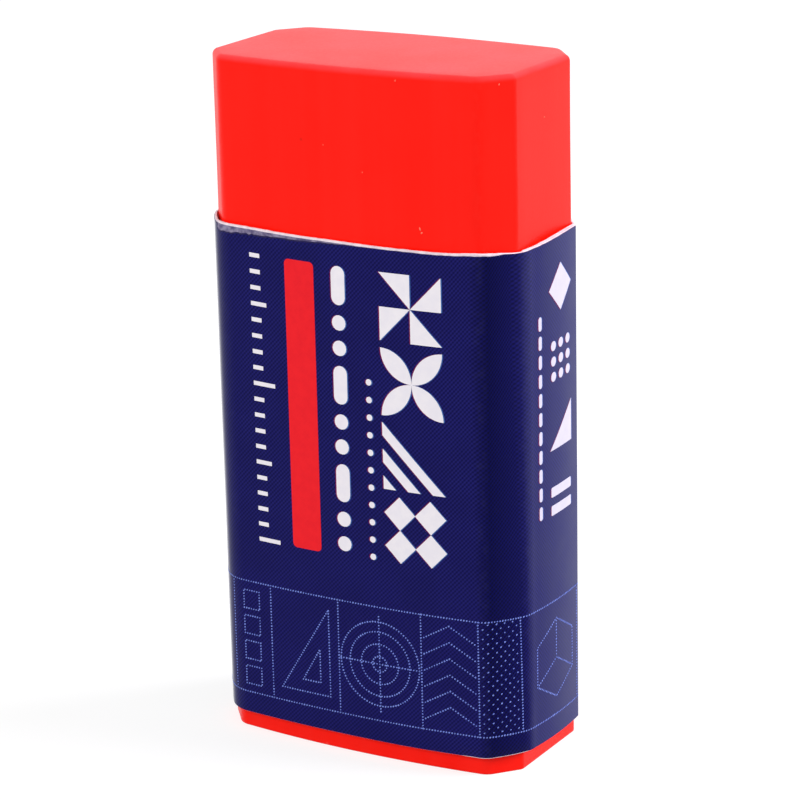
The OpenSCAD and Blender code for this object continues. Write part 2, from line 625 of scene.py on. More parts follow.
@dataclass(frozen=True)
class InkFinish:
    """Opaque ink on the card, a little uneven, under the same satin varnish.

    Attributes:
        name: Name of the material.
        colour: Colour of the ink.
        thin: Colour where the ink lies thinner.
        screened: Share by which the printer's screen shows in it, from 0 to 1.
        specular: Strength of the varnish's gloss.
    """

    name: str
    colour: Colour
    thin: Colour
    screened: float = 0.0
    specular: float = 0.06

    ROUGHNESS = 0.42
    ROUGHNESS_SPREAD = 0.16

    def material(self) -> bpy.types.Material:
        """The ink's material."""
        material, graph = new_material(self.name)
        place = graph.place()
        screen = graph.effect("screen", graph.blank(), Pitch=0.21, Slant=45.0)
        cloud = graph.effect("mottle", place, Scale=1800.0, Detail=3.0)
        grain = graph.effect("grain", place, Scale=7000.0, Roughness=0.55)
        thinned = graph.math("MULTIPLY", graph.spread(screen, 0.5, self.screened), cloud)
        surface(
            graph,
            "ink",
            Base_Color=graph.mix(thinned, self.colour, self.thin),
            Roughness=graph.spread(grain, self.ROUGHNESS, self.ROUGHNESS_SPREAD),
            Specular_IOR_Level=self.specular,
        )
        return material


def added(name: str, data: bpy.types.ID) -> bpy.types.Object:
    """Put a mesh, a lamp or a camera into the scene as an object."""
    item = bpy.data.objects.new(name, data)
    bpy.context.scene.collection.objects.link(item)
    return item


def new_piece(name: str, mesh: bpy.types.Mesh, materials: Iterable[bpy.types.Material]) -> bpy.types.Object:
    """Put a mesh that is in millimetres into the scene as a piece, in metres.

    Args:
        name: Name of the piece.
        mesh: Its mesh, in millimetres.
        materials: The materials of its slots, in order.

    Returns:
        The piece, at the origin, unturned and unscaled.
    """
    mesh.transform(Matrix.Scale(MM, 4))
    for material in materials:
        mesh.materials.append(material)
    return added(name, mesh)


def bow(half_chord: float, rise: float) -> float:
    """Radius of an arc, from half its chord and its rise."""
    return (half_chord ** 2 + rise ** 2) / (2 * rise)


def bridge(work: bmesh.types.BMesh, rings: list[list]) -> list[list]:
    """Close the strips between neighbouring rings with faces.

    Args:
        work: The mesh that is being made.
        rings: Closed rings of as many vertices each.

    Returns:
        The faces of each strip, in the order of the vertices that they start at.
    """
    strips = []
    for below, above in zip(rings, rings[1:]):
        ends = zip(below, below[1:] + below[:1], above[1:] + above[:1], above)
        strips.append([work.faces.new(corners) for corners in ends])
    return strips


def finished(work: bmesh.types.BMesh, name: str, crease: float) -> bpy.types.Mesh:
    """Turn a mesh in the making into a mesh.

    Args:
        work: The mesh in the making, which is freed.
        name: Name of the mesh.
        crease: Turn in degrees above which an edge is shaded sharp.

    Returns:
        The mesh, smoothly shaded.
    """
    mesh = bpy.data.meshes.new(name)
    work.to_mesh(mesh)
    work.free()
    mesh.shade_smooth()
    mesh.set_sharp_from_angle(angle=math.radians(crease))
    return mesh


def seat(piece: bpy.types.Object, body: str, slot: str, *nodes: str) -> None:
    """Let a piece ride on its body, and report it.

    Args:
        piece: The piece.
        body: The body that carries it.
        slot: Name of a material slot; not used.
        nodes: The solids that it stands for, if any.
    """
    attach(piece, body)
    if nodes:
        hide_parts(*nodes)
    log.info("%s: %d faces, on %s", piece.name, len(piece.data.polygons), body)


@dataclass(frozen=True)
class Level:
    """One ring of the bar.

    Attributes:
        height: Its height above the foot.
        inset: How far its outline lies inside the bar's own.
        share: Share of that outline's size, below 1 for the rings of an end face.
        edge: 1 in the middle of the rim, and 0 off it.
    """

    height: float
    inset: float = 0.0
    share: float = 1.0
    edge: float = 0.0


@dataclass
class RubberBar:
    """The bar of rubber: crowned broad faces, chamfered edges and rounded rims, in millimetres.

    Attributes:
        face_crown: Height of the crown of each broad face.
        chamfer_across: Chamfer leg along a broad face.
        chamfer_deep: Chamfer leg along a narrow side.
        broad_edge: Radius between a broad face and a chamfer.
        side_edge: Radius between a chamfer and a narrow side.
        top_rim: Radius of the rim round the top, which handling has softened.
        foot_rim: Radius of the rim round the foot, which is still crisp.
        sway: Depth of the slow waves that moulding and handling leave in the surface.
        sway_length: Length of those waves.
        dome: Height of the slight dome of each end.
    """

    node: str = "eraser_block"
    body: str = "block"
    slot: str = "red_rubber"
    face_crown: float = 0.56
    chamfer_across: float = 1.5
    chamfer_deep: float = 1.8
    broad_edge: float = 1.1
    side_edge: float = 0.45
    top_rim: float = 0.4
    foot_rim: float = 0.1
    sway: float = 0.03
    sway_length: float = 9.0
    dome: float = 0.05
    finish: RubberFinish = field(default_factory=RubberFinish)

    CROWN_STEPS = 22
    EDGE_STEPS = 7
    CHAMFER_STEPS = 4
    SIDE_STEPS = 8
    RIM_STEPS = 7
    RING_STEP = 1.1
    CAP_SHARES = (0.2, 0.45, 0.7, 0.88)
    # Distance below the top from which on a ring takes all the dust and painted sheen
    DUST_AND_SHEEN_MARGIN = 0.1
    # Without a seed the sway would differ from run to run
    SWAY_SEED = 4

    def __post_init__(self) -> None:
        """Take the outer sizes from the frame."""
        low, high = (Vector(corner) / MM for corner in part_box(self.node))
        self.length = high.z - low.z
        self.half_width = (high.x - low.x) / 2
        self.half_depth = (high.y - low.y) / 2

    @property
    def section(self) -> Section:
        """The bar's section at half length."""
        start = Vector((self.half_width - self.chamfer_across, self.half_depth - self.face_crown))
        end = Vector((self.half_width, start.y - self.chamfer_deep))
        facing = math.atan2(end.x - start.x, start.y - end.y)
        return Section(
            self.half_width,
            self.half_depth,
            bow(start.x, self.face_crown),
            facing,
            heading(facing).dot(end),
            self.broad_edge,
            self.side_edge,
        )

    def ring(self, inset: float) -> list[Station]:
        """Closed outline of the bar, moved inwards by an inset, counter-clockwise."""
        corner = self.section.grown(-inset).quarter(self.CROWN_STEPS, self.EDGE_STEPS, self.CHAMFER_STEPS)
        side = corner[-1]
        heights = split(-side.point.y, side.point.y, self.SIDE_STEPS)[1:-1]
        climb = [Station(Vector((side.point.x, y)), side.normal) for y in heights]
        back = list(reversed(corner)) + [s.flipped(-1, 1) for s in corner[1:]]
        left = [s.flipped(-1, 1) for s in reversed(climb)]
        front = [s.flipped(-1, -1) for s in reversed(corner)] + [s.flipped(1, -1) for s in corner[1:]]
        return back + left + front + climb

    def levels(self) -> list[Level]:
        """The rings of the bar, from the middle of its foot to the middle of its top."""
        foot = self.rim_levels(self.foot_rim)
        rim = reversed(self.rim_levels(self.top_rim))
        top = [replace(level, height=self.length - level.height) for level in rim]
        heights = spaced(self.foot_rim, self.length - self.top_rim, self.RING_STEP)[1:-1]
        return foot + [Level(height) for height in heights] + top

    def rim_levels(self, radius: float) -> list[Level]:
        """The rings of one end, before it is set at its height.

        Args:
            radius: Radius of the end's rim.

        Returns:
            The rings from the middle of the end's flat round the rim.
        """
        levels = [Level(0.0, radius, share) for share in self.CAP_SHARES]
        for turn in split(0.0, math.pi / 2, self.RIM_STEPS):
            rise, inset = radius * (1 - math.cos(turn)), radius * (1 - math.sin(turn))
            levels.append(Level(rise, inset, edge=math.sin(2 * turn)))
        return levels

    def sway_at(self, place: Vector) -> Vector:
        """Small shift of a point of the surface, from the slow waves in it, and none at the foot."""
        return self.sway * noise.noise_vector(place / self.sway_length) * min(1.0, place.z)

    def mesh(self) -> bpy.types.Mesh:
        """Loft of the bar through its rings, closed at both ends, in millimetres."""
        noise.seed_set(self.SWAY_SEED)
        work = bmesh.new()
        edge_layer = work.verts.layers.float.new(EDGE_ATTRIBUTE)
        top_layer = work.verts.layers.float.new(TOP_ATTRIBUTE)
        rings = []
        for level in self.levels():
            ring = []
            on_top = smooth_step(level.height, self.length - self.top_rim, self.length - self.DUST_AND_SHEEN_MARGIN)
            for station in self.ring(level.inset):
                point = station.point * level.share
                bulge = self.dome * (1 - level.share) if level.height > self.length / 2 else 0.0
                place = Vector((point.x, point.y, level.height + bulge))
                vert = work.verts.new(place + self.sway_at(place))
                vert[edge_layer] = max(level.edge, station.edge) if level.share == 1 else 0.0
                vert[top_layer] = on_top
                ring.append(vert)
            rings.append(ring)
        bridge(work, rings)
        work.faces.new(list(reversed(rings[0])))
        work.faces.new(rings[-1])
        return finished(work, "rubber_bar", crease=50)

    def surface_at(self, azimuth: float) -> Station:
        """Point of the bar's outline at an angle round it.

        Args:
            azimuth: The angle, in degrees from the bar's front towards its right.

        Returns:
            The point, with the direction that looks outwards there.
        """
        turn = math.radians(azimuth)
        out, aside = Vector((math.sin(turn), -math.cos(turn))), Vector((math.cos(turn), math.sin(turn)))
        ring = self.ring(0.0)
        for before, after in zip(ring, ring[1:] + ring[:1]):
            low, high = aside.dot(before.point), aside.dot(after.point)
            if low <= 0 < high and out.dot(before.point) > 0:
                return before.toward(after, -low / (high - low))
        raise ValueError(f"nothing lies at {azimuth} degrees")

    def build(self) -> None:
        """Build the bar, dress it and let it stand for its solid."""
        piece = new_piece("rubber_bar", self.mesh(), [self.finish.material()])
        seat(piece, self.body, self.slot, self.node)


@dataclass(frozen=True)
class Crumb:
    """A crumb of rubber that sticks to the bar.

    Attributes:
        azimuth: Where it lies round the bar, in degrees from its front towards the right.
        height: Its height above the foot.
        width: Its width.
        length: Its length.
        lean: How far it leans out of the upright, in degrees.
    """

    azimuth: float
    height: float
    width: float
    length: float
    lean: float


@dataclass
class Crumbs:
    """The crumbs and nicks on the bar, as low pale bumps, in millimetres."""

    bar: RubberBar
    thickness: float = 0.08
    finish: RubberFinish = RubberFinish(
        "pale_crumb_finish", colour=paint(255, 128, 104), deep=paint(255, 92, 70), speck=paint(230, 70, 54)
    )
    crumbs: tuple[Crumb, ...] = (
        Crumb(42.8, 33.85, 0.1, 0.24, 14),
        Crumb(43.4, 33.62, 0.16, 0.1, 50),
        Crumb(33.5, 42.5, 0.12, 0.08, 80),
        Crumb(66.8, 42.5, 0.12, 0.08, 70),
        Crumb(90.2, 39.87, 0.12, 0.1, 20),
        Crumb(-12.0, 38.3, 0.08, 0.07, 0),
        Crumb(14.0, 36.9, 0.07, 0.09, 30),
        Crumb(168.0, 37.0, 0.14, 0.3, 24),
        Crumb(205.0, 35.2, 0.12, 0.16, 70),
        Crumb(262.0, 38.8, 0.12, 0.22, 10),
    )

    def build(self) -> None:
        """Build the crumbs, half sunk into the bar, and let them ride with it."""
        work = bmesh.new()
        up = Vector((0, 0, 1))
        for crumb in self.crumbs:
            station = self.bar.surface_at(crumb.azimuth)
            out = Vector((*station.normal, 0.0))
            place = Matrix.Translation(Vector((*station.point, crumb.height)))
            facing = Matrix((up.cross(out), up, out)).transposed().to_4x4()
            lean = Matrix.Rotation(math.radians(crumb.lean), 4, "Z")
            size = Matrix.Diagonal((crumb.width, crumb.length, self.thickness, 1.0))
            bmesh.ops.create_icosphere(work, subdivisions=2, radius=0.5, matrix=place @ facing @ lean @ size)
        mesh = finished(work, "rubber_crumbs", crease=60)
        piece = new_piece("rubber_crumbs", mesh, [self.finish.material()])
        seat(piece, self.bar.body, self.bar.slot)


class Face(Enum):
    """Faces of the sleeve, as they follow one another along the strip of card."""

    BACK = "back"
    LEFT = "left"
    FRONT = "front"
    RIGHT = "right"


# The broad faces and the narrow sides, in the order in which they are printed
BROAD_FACES = (Face.FRONT, Face.BACK)
NARROW_SIDES = (Face.LEFT, Face.RIGHT)


@dataclass
class Wrap:
    """The card's outer face on its way once round the bar, in millimetres.

    The strip starts at the free edge of the glue flap, goes round the back, the left side and the front,
    and ends at the free edge of the panel that is glued over the flap.

    Attributes:
        left: The outer face of the card round the left side, tight on the bar, with wide folds.
        under: The outer face of the card at the flap's own level.
        crisp: The face that the quarter between front and seam has at the foot, where its folds are crisp.
        soft: The same at the top, where its folds have gone soft.
        foot: Height of the sleeve's lower edge.
        height: Height of the sleeve.
        seam_margin: Distance from a fold to the free edge of the flap or of the panel over it.
        wave: Depth of the slow waves in the card.
        wave_length: Length of those waves.
        left_rise: How far the cut at the top rises towards the front's left fold.
        front_dip: How far the cut at the top dips right of the front's middle.
        fold_rise: How far the cut at the top rises at the fold right of the front.
        side_tilt: How far the cut at the top of the right side rises to the back and dips to the front.
        left_dip: How far the cut at the foot dips on the front, left of the seam side's fold.
        right_dip: The same on the right side.
        side_bow: How far the glued side bows outwards.
    """

    left: Section
    under: Section
    crisp: Section
    soft: Section
    foot: float
    height: float
    seam_margin: float = 0.1
    wave: float = 0.012
    wave_length: float = 8.0
    left_rise: float = 0.14
    front_dip: float = 0.07
    fold_rise: float = 0.08
    side_tilt: float = 0.1
    left_dip: float = 0.07
    right_dip: float = 0.04
    side_bow: float = 0.16
    stations: list[Station] = field(init=False)
    middles: dict[Face, float] = field(init=False)

    CROWN_STEPS = 40
    EDGE_STEPS = 12
    CHAMFER_STEPS = 7
    SIDE_STEPS = 12
    # Stretches across x over which the rises and dips of the cut edges come and go
    LEFT_RISE_RUN = (2.0, 8.5)
    FRONT_DIP_RUNS = ((-2.0, 3.0), (6.0, 8.0))
    FOLD_RISE_RUNS = ((7.4, 8.6), (9.2, 10.4))
    SIDE_RUN = (10.0, 10.8)
    LEFT_DIP_RUN = (3.0, 9.0)
    RIGHT_DIP_RUN = (9.0, 10.8)
    # Stretch across y over which the cut of the right side tilts
    TILT_RUN = (-3.0, 2.5)

    def __post_init__(self) -> None:
        """Lay the strip round the bar and measure it."""
        left, under, crisp, soft = (
            section.quarter(self.CROWN_STEPS, self.EDGE_STEPS, self.CHAMFER_STEPS)
            for section in (self.left, self.under, self.crisp, self.soft)
        )
        self.at_foot = self.lay(left, under, crisp)
        self.at_top = self.lay(left, under, soft)
        laps = self.at_foot
        along = 0.0
        self.stations = []
        for before, station in zip([laps[0], *laps], laps):
            along += (station.point - before.point).length
            self.stations.append(replace(station, along=along))
        self.marks = [station.along for station in self.stations]
        self.middles = {
            Face.BACK: self.find(lambda s: s.point.y > 0 and s.normal.y > 0.5, 0),
            Face.LEFT: self.find(lambda s: s.point.x < 0 and s.normal.x < -0.5, 1),
            Face.FRONT: self.find(lambda s: s.point.y < 0 and s.normal.y < -0.5, 0),
            Face.RIGHT: self.marks[-1] - laps[-1].point.y,
        }

    def lay(self, left: list[Station], under: list[Station], corner: list[Station]) -> list[Station]:
        """Stations along the whole strip.

        Args:
            left: The quarter that both left ones have.
            under: The quarter at the flap's own level.
            corner: The quarter between the front and the seam side.

        Returns:
            The stations, as many of them for every shape of the quarters.
        """
        edge = under[-1].point.y - self.seam_margin
        flap = self.side(self.under.width, -edge, under[-1].point.y, self.side_bow)
        level = self.side(self.left.width, -left[-1].point.y, left[-1].point.y)
        bare = [s.flipped(-1, 1) for s in reversed(level)]
        panel = self.side(self.crisp.width, -corner[-1].point.y, edge, self.side_bow)
        laps = flap[:-1] + list(reversed(under))
        laps += [s.flipped(-1, 1) for s in left[1:]] + bare[1:-1]
        laps += [s.flipped(-1, -1) for s in reversed(left)]
        return laps + [s.flipped(1, -1) for s in corner[1:]] + panel[1:]

    @staticmethod
    def side(x: float, start: float, end: float, bow_out: float = 0.0) -> list[Station]:
        """Stations up a narrow side.

        Args:
            x: Half width at which its ends lie.
            start: The y that it starts at.
            end: The y that it ends at.
            bow_out: How far it bows outwards between them.

        Returns:
            The stations, both ends included.
        """
        found = []
        for share in split(0.0, 1.0, Wrap.SIDE_STEPS):
            lean = 4 * bow_out * (2 * share - 1) / (end - start)
            out = 4 * bow_out * share * (1 - share)
            point = Vector((x + out, start + (end - start) * share))
            found.append(Station(point, Vector((1, lean)).normalized()))
        return found

    def find(self, on_face: Callable[[Station], bool], axis: int) -> float:
        """Distance along the strip at which a face crosses the middle of an axis, 0 for x or 1 for y."""
        return min((s for s in self.stations if on_face(s)), key=lambda s: abs(s.point[axis])).along

    @property
    def length(self) -> float:
        """Length of the strip of card, from free edge to free edge."""
        return self.marks[-1]

    def at(self, along: float, up: float) -> Station:
        """Point, normal and marks of the card at a place on the flat blank.

        Args:
            along: Distance along the strip.
            up: Height above the sleeve's lower edge.

        Returns:
            The station there, between the strip's course at the foot and its course at the top.
        """
        i = min(max(bisect.bisect_right(self.marks, along) - 1, 0), len(self.marks) - 2)
        share = (along - self.marks[i]) / (self.marks[i + 1] - self.marks[i])
        softness = smooth_step(up / self.height, 0.0, 1.0)
        low, high = (lap[i].toward(lap[i + 1], share) for lap in (self.at_foot, self.at_top))
        return replace(low.toward(high, softness), along=along)

    def slack(self, point: Vector, up: float) -> float:
        """How far the card stands off from its nominal place."""
        return self.wave * (1 + noise.noise(Vector((point.x, point.y, up)) / self.wave_length))

    def rise(self, point: Vector, up: float) -> float:
        """How far the cut edges of the card run out of level, shared out over its height.

        Args:
            point: Where the card stands, in plan.
            up: Height above the sleeve's lower edge.

        Returns:
            The rise, below 0 for a dip.
        """
        share = up / self.height
        top = self.left_rise * smooth_step(-point.x, *self.LEFT_RISE_RUN)
        foot = self.right_dip * smooth_step(point.x, *self.RIGHT_DIP_RUN)
        if point.y < 0:
            top -= self.front_dip * hump(point.x, *self.FRONT_DIP_RUNS)
            top += self.fold_rise * hump(point.x, *self.FOLD_RISE_RUNS)
            foot += self.left_dip * (1 - smooth_step(point.x, *self.LEFT_DIP_RUN))
        tilt = 2 * smooth_step(point.y, *self.TILT_RUN) - 1
        top += self.side_tilt * smooth_step(point.x, *self.SIDE_RUN) * tilt
        return top * share * share - foot * (1 - share) * (1 - share)

    def place(self, along: float, up: float, out: float) -> Vector:
        """Where a point of the flat blank goes, once the card is wrapped.

        Args:
            along: Distance along the strip from the flap's free edge.
            up: Height above the sleeve's lower edge.
            out: Distance out of the card's printed face.

        Returns:
            The place, in millimetres.
        """
        station = self.at(along, up)
        off = out + self.slack(station.point, up)
        flat = station.point + station.normal * off
        return Vector((flat.x, flat.y, self.foot + up + self.rise(station.point, up)))


class Ply(Enum):
    """What a face of the card shows, by its material's number."""

    PRINT = 0
    BOARD = 1
    TORN = 2
    DARK_BAND = 3


@dataclass(frozen=True)
class Ripple:
    """Waves of noise along a cut.

    Attributes:
        depth: Height of the waves.
        rate: How closely they follow one another.
        row: Row of the noise that they are taken from.
    """

    depth: float
    rate: float
    row: Point

    def at(self, along: float) -> float:
        """Height of the waves at a distance along the cut."""
        return self.depth * noise.noise(Vector((along * self.rate, *self.row)))


@dataclass
class CardSleeve:
    """The card sleeve: a printed strip, wrapped once round the bar and glued at the right side.

    Attributes:
        card: Thickness of the card.
        face_gap: Gap between the card and the middle of the bar's broad faces.
        follow: Share of the bar's crown that the card bends to.
        flap_gap: Gap between the glue flap and the narrow side under it.
        broad_gap: Gap between the card and a chamfer, at the broad face.
        side_gap: Gap between the card and a chamfer, at the narrow side.
        left_gap: The same left of the front and the back, where the card lies tight.
        soft_gap: The same at the top, beside the fold that has gone soft.
        broad_fold: Radius inside the folds beside the broad faces.
        side_fold: Radius inside the fold between the back and the glue flap.
        left_folds: Radii inside the folds beside the left side, at the broad face and at the side.
        swells: Angles by which the card over the chamfers leans at its folds, where it swells out: left,
            right at the foot, and right at the top.
        crisp_folds: Radii inside the folds right of the front at the foot, at the front and at the side.
        soft_folds: The same at the top.
        ply: Thickness of the printed top ply, which has come off below the front's upper edge.
        core: Height of the white core that shows along the upper edge, where the cut has frayed.
        side_core: The same on the seam side.
        foot_core: The same along the lower edge of the chamfer.
        dark_band: Height of the dark band below the tear.
    """

    bar: RubberBar
    node: str = "card_sleeve"
    body: str = "sleeve"
    slot: str = "printed_card"
    card: float = 0.18
    face_gap: float = 0.17
    follow: float = 0.82
    flap_gap: float = 0.08
    broad_gap: float = 0.28
    side_gap: float = 0.06
    left_gap: float = 0.03
    soft_gap: float = 0.34
    broad_fold: float = 1.1
    side_fold: float = 0.6
    left_folds: Point = (2.3, 0.7)
    swells: tuple[float, float, float] = (math.radians(5), math.radians(6), math.radians(8))
    crisp_folds: Point = (0.9, 1.9)
    soft_folds: Point = (1.6, 3.2)
    ply: float = 0.035
    core: float = 0.12
    side_core: float = 0.03
    foot_core: float = 0.04
    dark_band: float = 0.09
    printed: PrintedFinish = field(default_factory=PrintedFinish)
    board: BoardFinish = BoardFinish("white_board_finish", paint(240, 226, 232), paint(222, 204, 214))
    torn: BoardFinish = BoardFinish("torn_ply_finish", paint(146, 138, 164), paint(78, 70, 108), 0.5)
    dark: BoardFinish = BoardFinish("dark_band_finish", paint(10, 4, 56), paint(22, 16, 70))

    # Stretch of the torn ply across the front, from its middle, the tear's depth and the least that shows
    TEAR_RUN = (-9.45, 3.0)
    TEAR_DEPTH = 0.42
    LEAST_TEAR = 0.015
    # Share of that stretch over which the tear opens, and the power by which it closes
    TEAR_OPENS = 0.02
    TEAR_CLOSES = 1.5
    # Unevenness of the tear's depth, and of the upper cut
    JAG = (Ripple(0.35, 1.3, (0.0, 7.0)), Ripple(0.3, 4.5, (3.0, 0.0)))
    FRAY = (Ripple(0.02, 2.2, (5.0, 1.0)), Ripple(0.008, 8.0, (2.0, 4.0)))
    # How strongly the fray changes the height of the white core, along the upper and the lower edge
    CORE_FRAY = 6
    FOOT_FRAY = 10
    # Stretches across the front over which the core grows beside the right fold and shrinks to the
    # seam side, and its growth
    FOLD_RUN = (7.0, 8.5)
    SEAM_RUN = (9.8, 11.5)
    FOLD_CORE = 0.02
    # Stretches over which the core along the lower edge comes and goes
    FOOT_CORE_RUNS = ((7.0, 8.0), (11.6, 12.6))
    # Rounding of the card's cut edges, and that of the upper edge's printed side, down and back
    ROUND = 0.02
    TOP_ROUND = (0.015, 0.012)
    # Share of painted sheen, a painted highlight on the left folds, by how far the card looks to the left
    # there
    LEFT_SHEEN = 0.1
    LEFT_SHEEN_TURNS = ((0.55, 0.86), (0.88, 0.97))
    # The same on the glued side, by how far the card looks to the right, and the part left at the front
    SEAM_SHEEN = 0.055
    SEAM_SHEEN_TURN = (0.94, 0.998)
    SEAM_SHEEN_RUN = (-3.5, 3.5)
    SEAM_SHEEN_LEAST = 0.4
    ROWS = 36
    TEAR_ROWS = 2

    def __post_init__(self) -> None:
        """Lay the card round the bar, at the sleeve's place in the frame."""
        low, high = (Vector(corner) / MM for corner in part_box(self.node))
        flap = self.bar.half_width + self.flap_gap
        panel = flap + self.card
        left, foot, top = self.swells
        faces = (
            self.section(panel, self.left_folds, self.left_gap, left),
            self.section(flap, (self.broad_fold, self.side_fold), self.side_gap),
            self.section(panel, self.crisp_folds, self.side_gap, foot),
            self.section(panel, self.soft_folds, self.soft_gap, top),
        )
        self.wrap = Wrap(*(face.grown(self.card) for face in faces), foot=low.z, height=high.z - low.z)

    def section(self, width: float, folds: Point, side_gap: float, swell: float = 0.0) -> Section:
        """Inner face of the card.

        Args:
            width: Half width across the narrow sides.
            folds: Radii inside the folds, beside the broad face and beside the narrow side.
            side_gap: Gap between the card and the bar's chamfer, at the narrow side.
            swell: Angle by which the card over a chamfer leans at its folds.

        Returns:
            The section.
        """
        block = self.bar.section
        shoulder = self.bar.half_depth - self.bar.face_crown
        chamfer = heading(block.facing)
        start = Vector((self.bar.half_width - self.bar.chamfer_across, shoulder)) + self.broad_gap * chamfer
        end = Vector((self.bar.half_width, shoulder - self.bar.chamfer_deep)) + side_gap * chamfer
        facing = math.atan2(end.x - start.x, start.y - end.y)
        return Section(
            width,
            self.bar.half_depth + self.face_gap,
            bow(start.x, self.follow * self.bar.face_crown),
            facing,
            heading(facing).dot(end),
            *folds,
            swell,
        )

    def tear(self, along: float) -> float:
        """Depth to which the printed ply has come off.

        Args:
            along: Distance along the strip.

        Returns:
            The depth below the white core of the upper edge.
        """
        x = along - self.wrap.middles[Face.FRONT]
        first, last = self.TEAR_RUN
        if not first < x < last:
            return self.LEAST_TEAR
        share = (x - first) / (last - first)
        depth = self.TEAR_DEPTH * smooth_step(share, 0.0, self.TEAR_OPENS) * (1 - share) ** self.TEAR_CLOSES
        return max(self.LEAST_TEAR, depth * (1 + sum(wave.at(x) for wave in self.JAG)))

    def profile(self, station: Station) -> list[tuple[float, float, Ply]]:
        """Outline of the card's section at a station.

        Args:
            station: The station along the strip.

        Returns:
            For each point its height, its distance out of the printed face, and what the face that starts
            there shows.
        """
        x = station.along - self.wrap.middles[Face.FRONT]
        fray = sum(wave.at(station.along) for wave in self.FRAY)
        core = self.core + self.FOLD_CORE * smooth_step(x, *self.FOLD_RUN)
        core += (self.side_core - core) * smooth_step(x, *self.SEAM_RUN)
        top, cut = self.wrap.height, self.wrap.height + fray
        ply_top = top - core * (1 + self.CORE_FRAY * fray)
        tear = self.tear(station.along)
        print_top = ply_top - tear
        dark_band_foot = print_top - min(self.dark_band, tear)
        shown = self.foot_core * hump(x, *self.FOOT_CORE_RUNS)
        foot_core = max(shown * (1 + self.FOOT_FRAY * fray), self.LEAST_TEAR)

        outside = [(v, 0.0, Ply.PRINT) for v in split(foot_core, dark_band_foot, self.ROWS)]
        outside[-1] = (dark_band_foot, 0.0, Ply.DARK_BAND)
        torn = [(print_top, 0.0, Ply.TORN)]
        torn += [(v, -self.ply, Ply.TORN) for v in split(print_top, ply_top, self.TEAR_ROWS)]
        torn[-1] = (ply_top, -self.ply, Ply.BOARD)
        down, back = self.TOP_ROUND
        edge = [
            (cut - down, -self.ply - back, Ply.BOARD),
            (cut, -self.ply - 2 * self.ROUND, Ply.BOARD),
            (cut, self.ROUND - self.card, Ply.BOARD),
        ]
        inside = [(v, -self.card, Ply.BOARD) for v in split(top - self.ROUND, self.ROUND, self.ROWS)]
        foot = [(0.0, self.ROUND - self.card, Ply.BOARD), (0.0, -self.ROUND, Ply.BOARD)]
        return outside + torn + edge + inside + foot

    def painted_sheen(self, station: Station) -> float:
        """Share of painted sheen that lightens the print: most on the left folds, and a little on the glued
        side.

        Args:
            station: The station along the strip.

        Returns:
            The share of painted sheen there.
        """
        out, place = station.normal, station.point
        if place.x < 0:
            return self.LEFT_SHEEN * hump(-out.x, *self.LEFT_SHEEN_TURNS)
        least = self.SEAM_SHEEN_LEAST
        back = least + (1 - least) * smooth_step(place.y, *self.SEAM_SHEEN_RUN)
        return self.SEAM_SHEEN * smooth_step(out.x, *self.SEAM_SHEEN_TURN) * back

    def mesh(self) -> bpy.types.Mesh:
        """The strip of card, swept along the wrap and closed at its two free edges, in millimetres."""
        work = bmesh.new()
        edge_layer = work.verts.layers.float.new(EDGE_ATTRIBUTE)
        chamfer_shade_layer = work.verts.layers.float.new(CHAMFER_SHADE_ATTRIBUTE)
        sheen_layer = work.verts.layers.float.new(SHEEN_ATTRIBUTE)
        blank = work.loops.layers.uv.new(BLANK_MAP)
        flat: dict[bmesh.types.BMVert, Point] = {}
        rings, slots = [], []
        for station in self.wrap.stations:
            ring = []
            profile = self.profile(station)
            for up, out, _ in profile:
                vert = work.verts.new(self.wrap.place(station.along, up, out))
                vert[edge_layer] = station.edge
                # Painted shade, on the chamfers beside the right side only
                vert[chamfer_shade_layer] = station.crease if station.point.x > 0 else 0.0
                # Painted sheen, a painted highlight on the left folds and the glued side
                vert[sheen_layer] = self.painted_sheen(station)
                flat[vert] = (station.along / BLANK_SPAN, up / BLANK_SPAN)
                ring.append(vert)
            rings.append(ring)
            slots = [slot for _, _, slot in profile]
        for strip in bridge(work, rings):
            for face, slot in zip(strip, slots):
                face.material_index = slot.value
        for cap in (work.faces.new(rings[0]), work.faces.new(list(reversed(rings[-1])))):
            cap.material_index = Ply.BOARD.value
        for face in work.faces:
            for loop in face.loops:
                loop[blank].uv = flat[loop.vert]
        bmesh.ops.recalc_face_normals(work, faces=work.faces)
        return finished(work, "card_wrap", crease=35)

    def build(self) -> None:
        """Build the sleeve, dress it and let it stand for its solid."""
        finishes = (self.printed, self.board, self.torn, self.dark)
        piece = new_piece("card_wrap", self.mesh(), [finish.material() for finish in finishes])
        seat(piece, self.body, self.slot, self.node)


def arc_points(centre: Point, radius: float, start: float, end: float, steps: int) -> Polygon:
    """Points of an arc on the flat blank, angles in degrees, both ends included."""
    turns = [math.radians(angle) for angle in split(start, end, steps)]
    return [(centre[0] + radius * math.cos(a), centre[1] + radius * math.sin(a)) for a in turns]


def disc(centre: Point, radius: float, steps: int, start: float = 0.0) -> Polygon:
    """A round dot of ink, or a shape with a few equal sides, from an angle in degrees."""
    return arc_points(centre, radius, start, start + 360, steps)[:-1]


def pill(centre: Point, length: float, width: float) -> Polygon:
    """An upright bar of ink with round ends."""
    half, reach = width / 2, (length - width) / 2
    above = arc_points((centre[0], centre[1] + reach), half, 0, 180, 8)
    below = arc_points((centre[0], centre[1] - reach), half, 180, 360, 8)
    return above + below


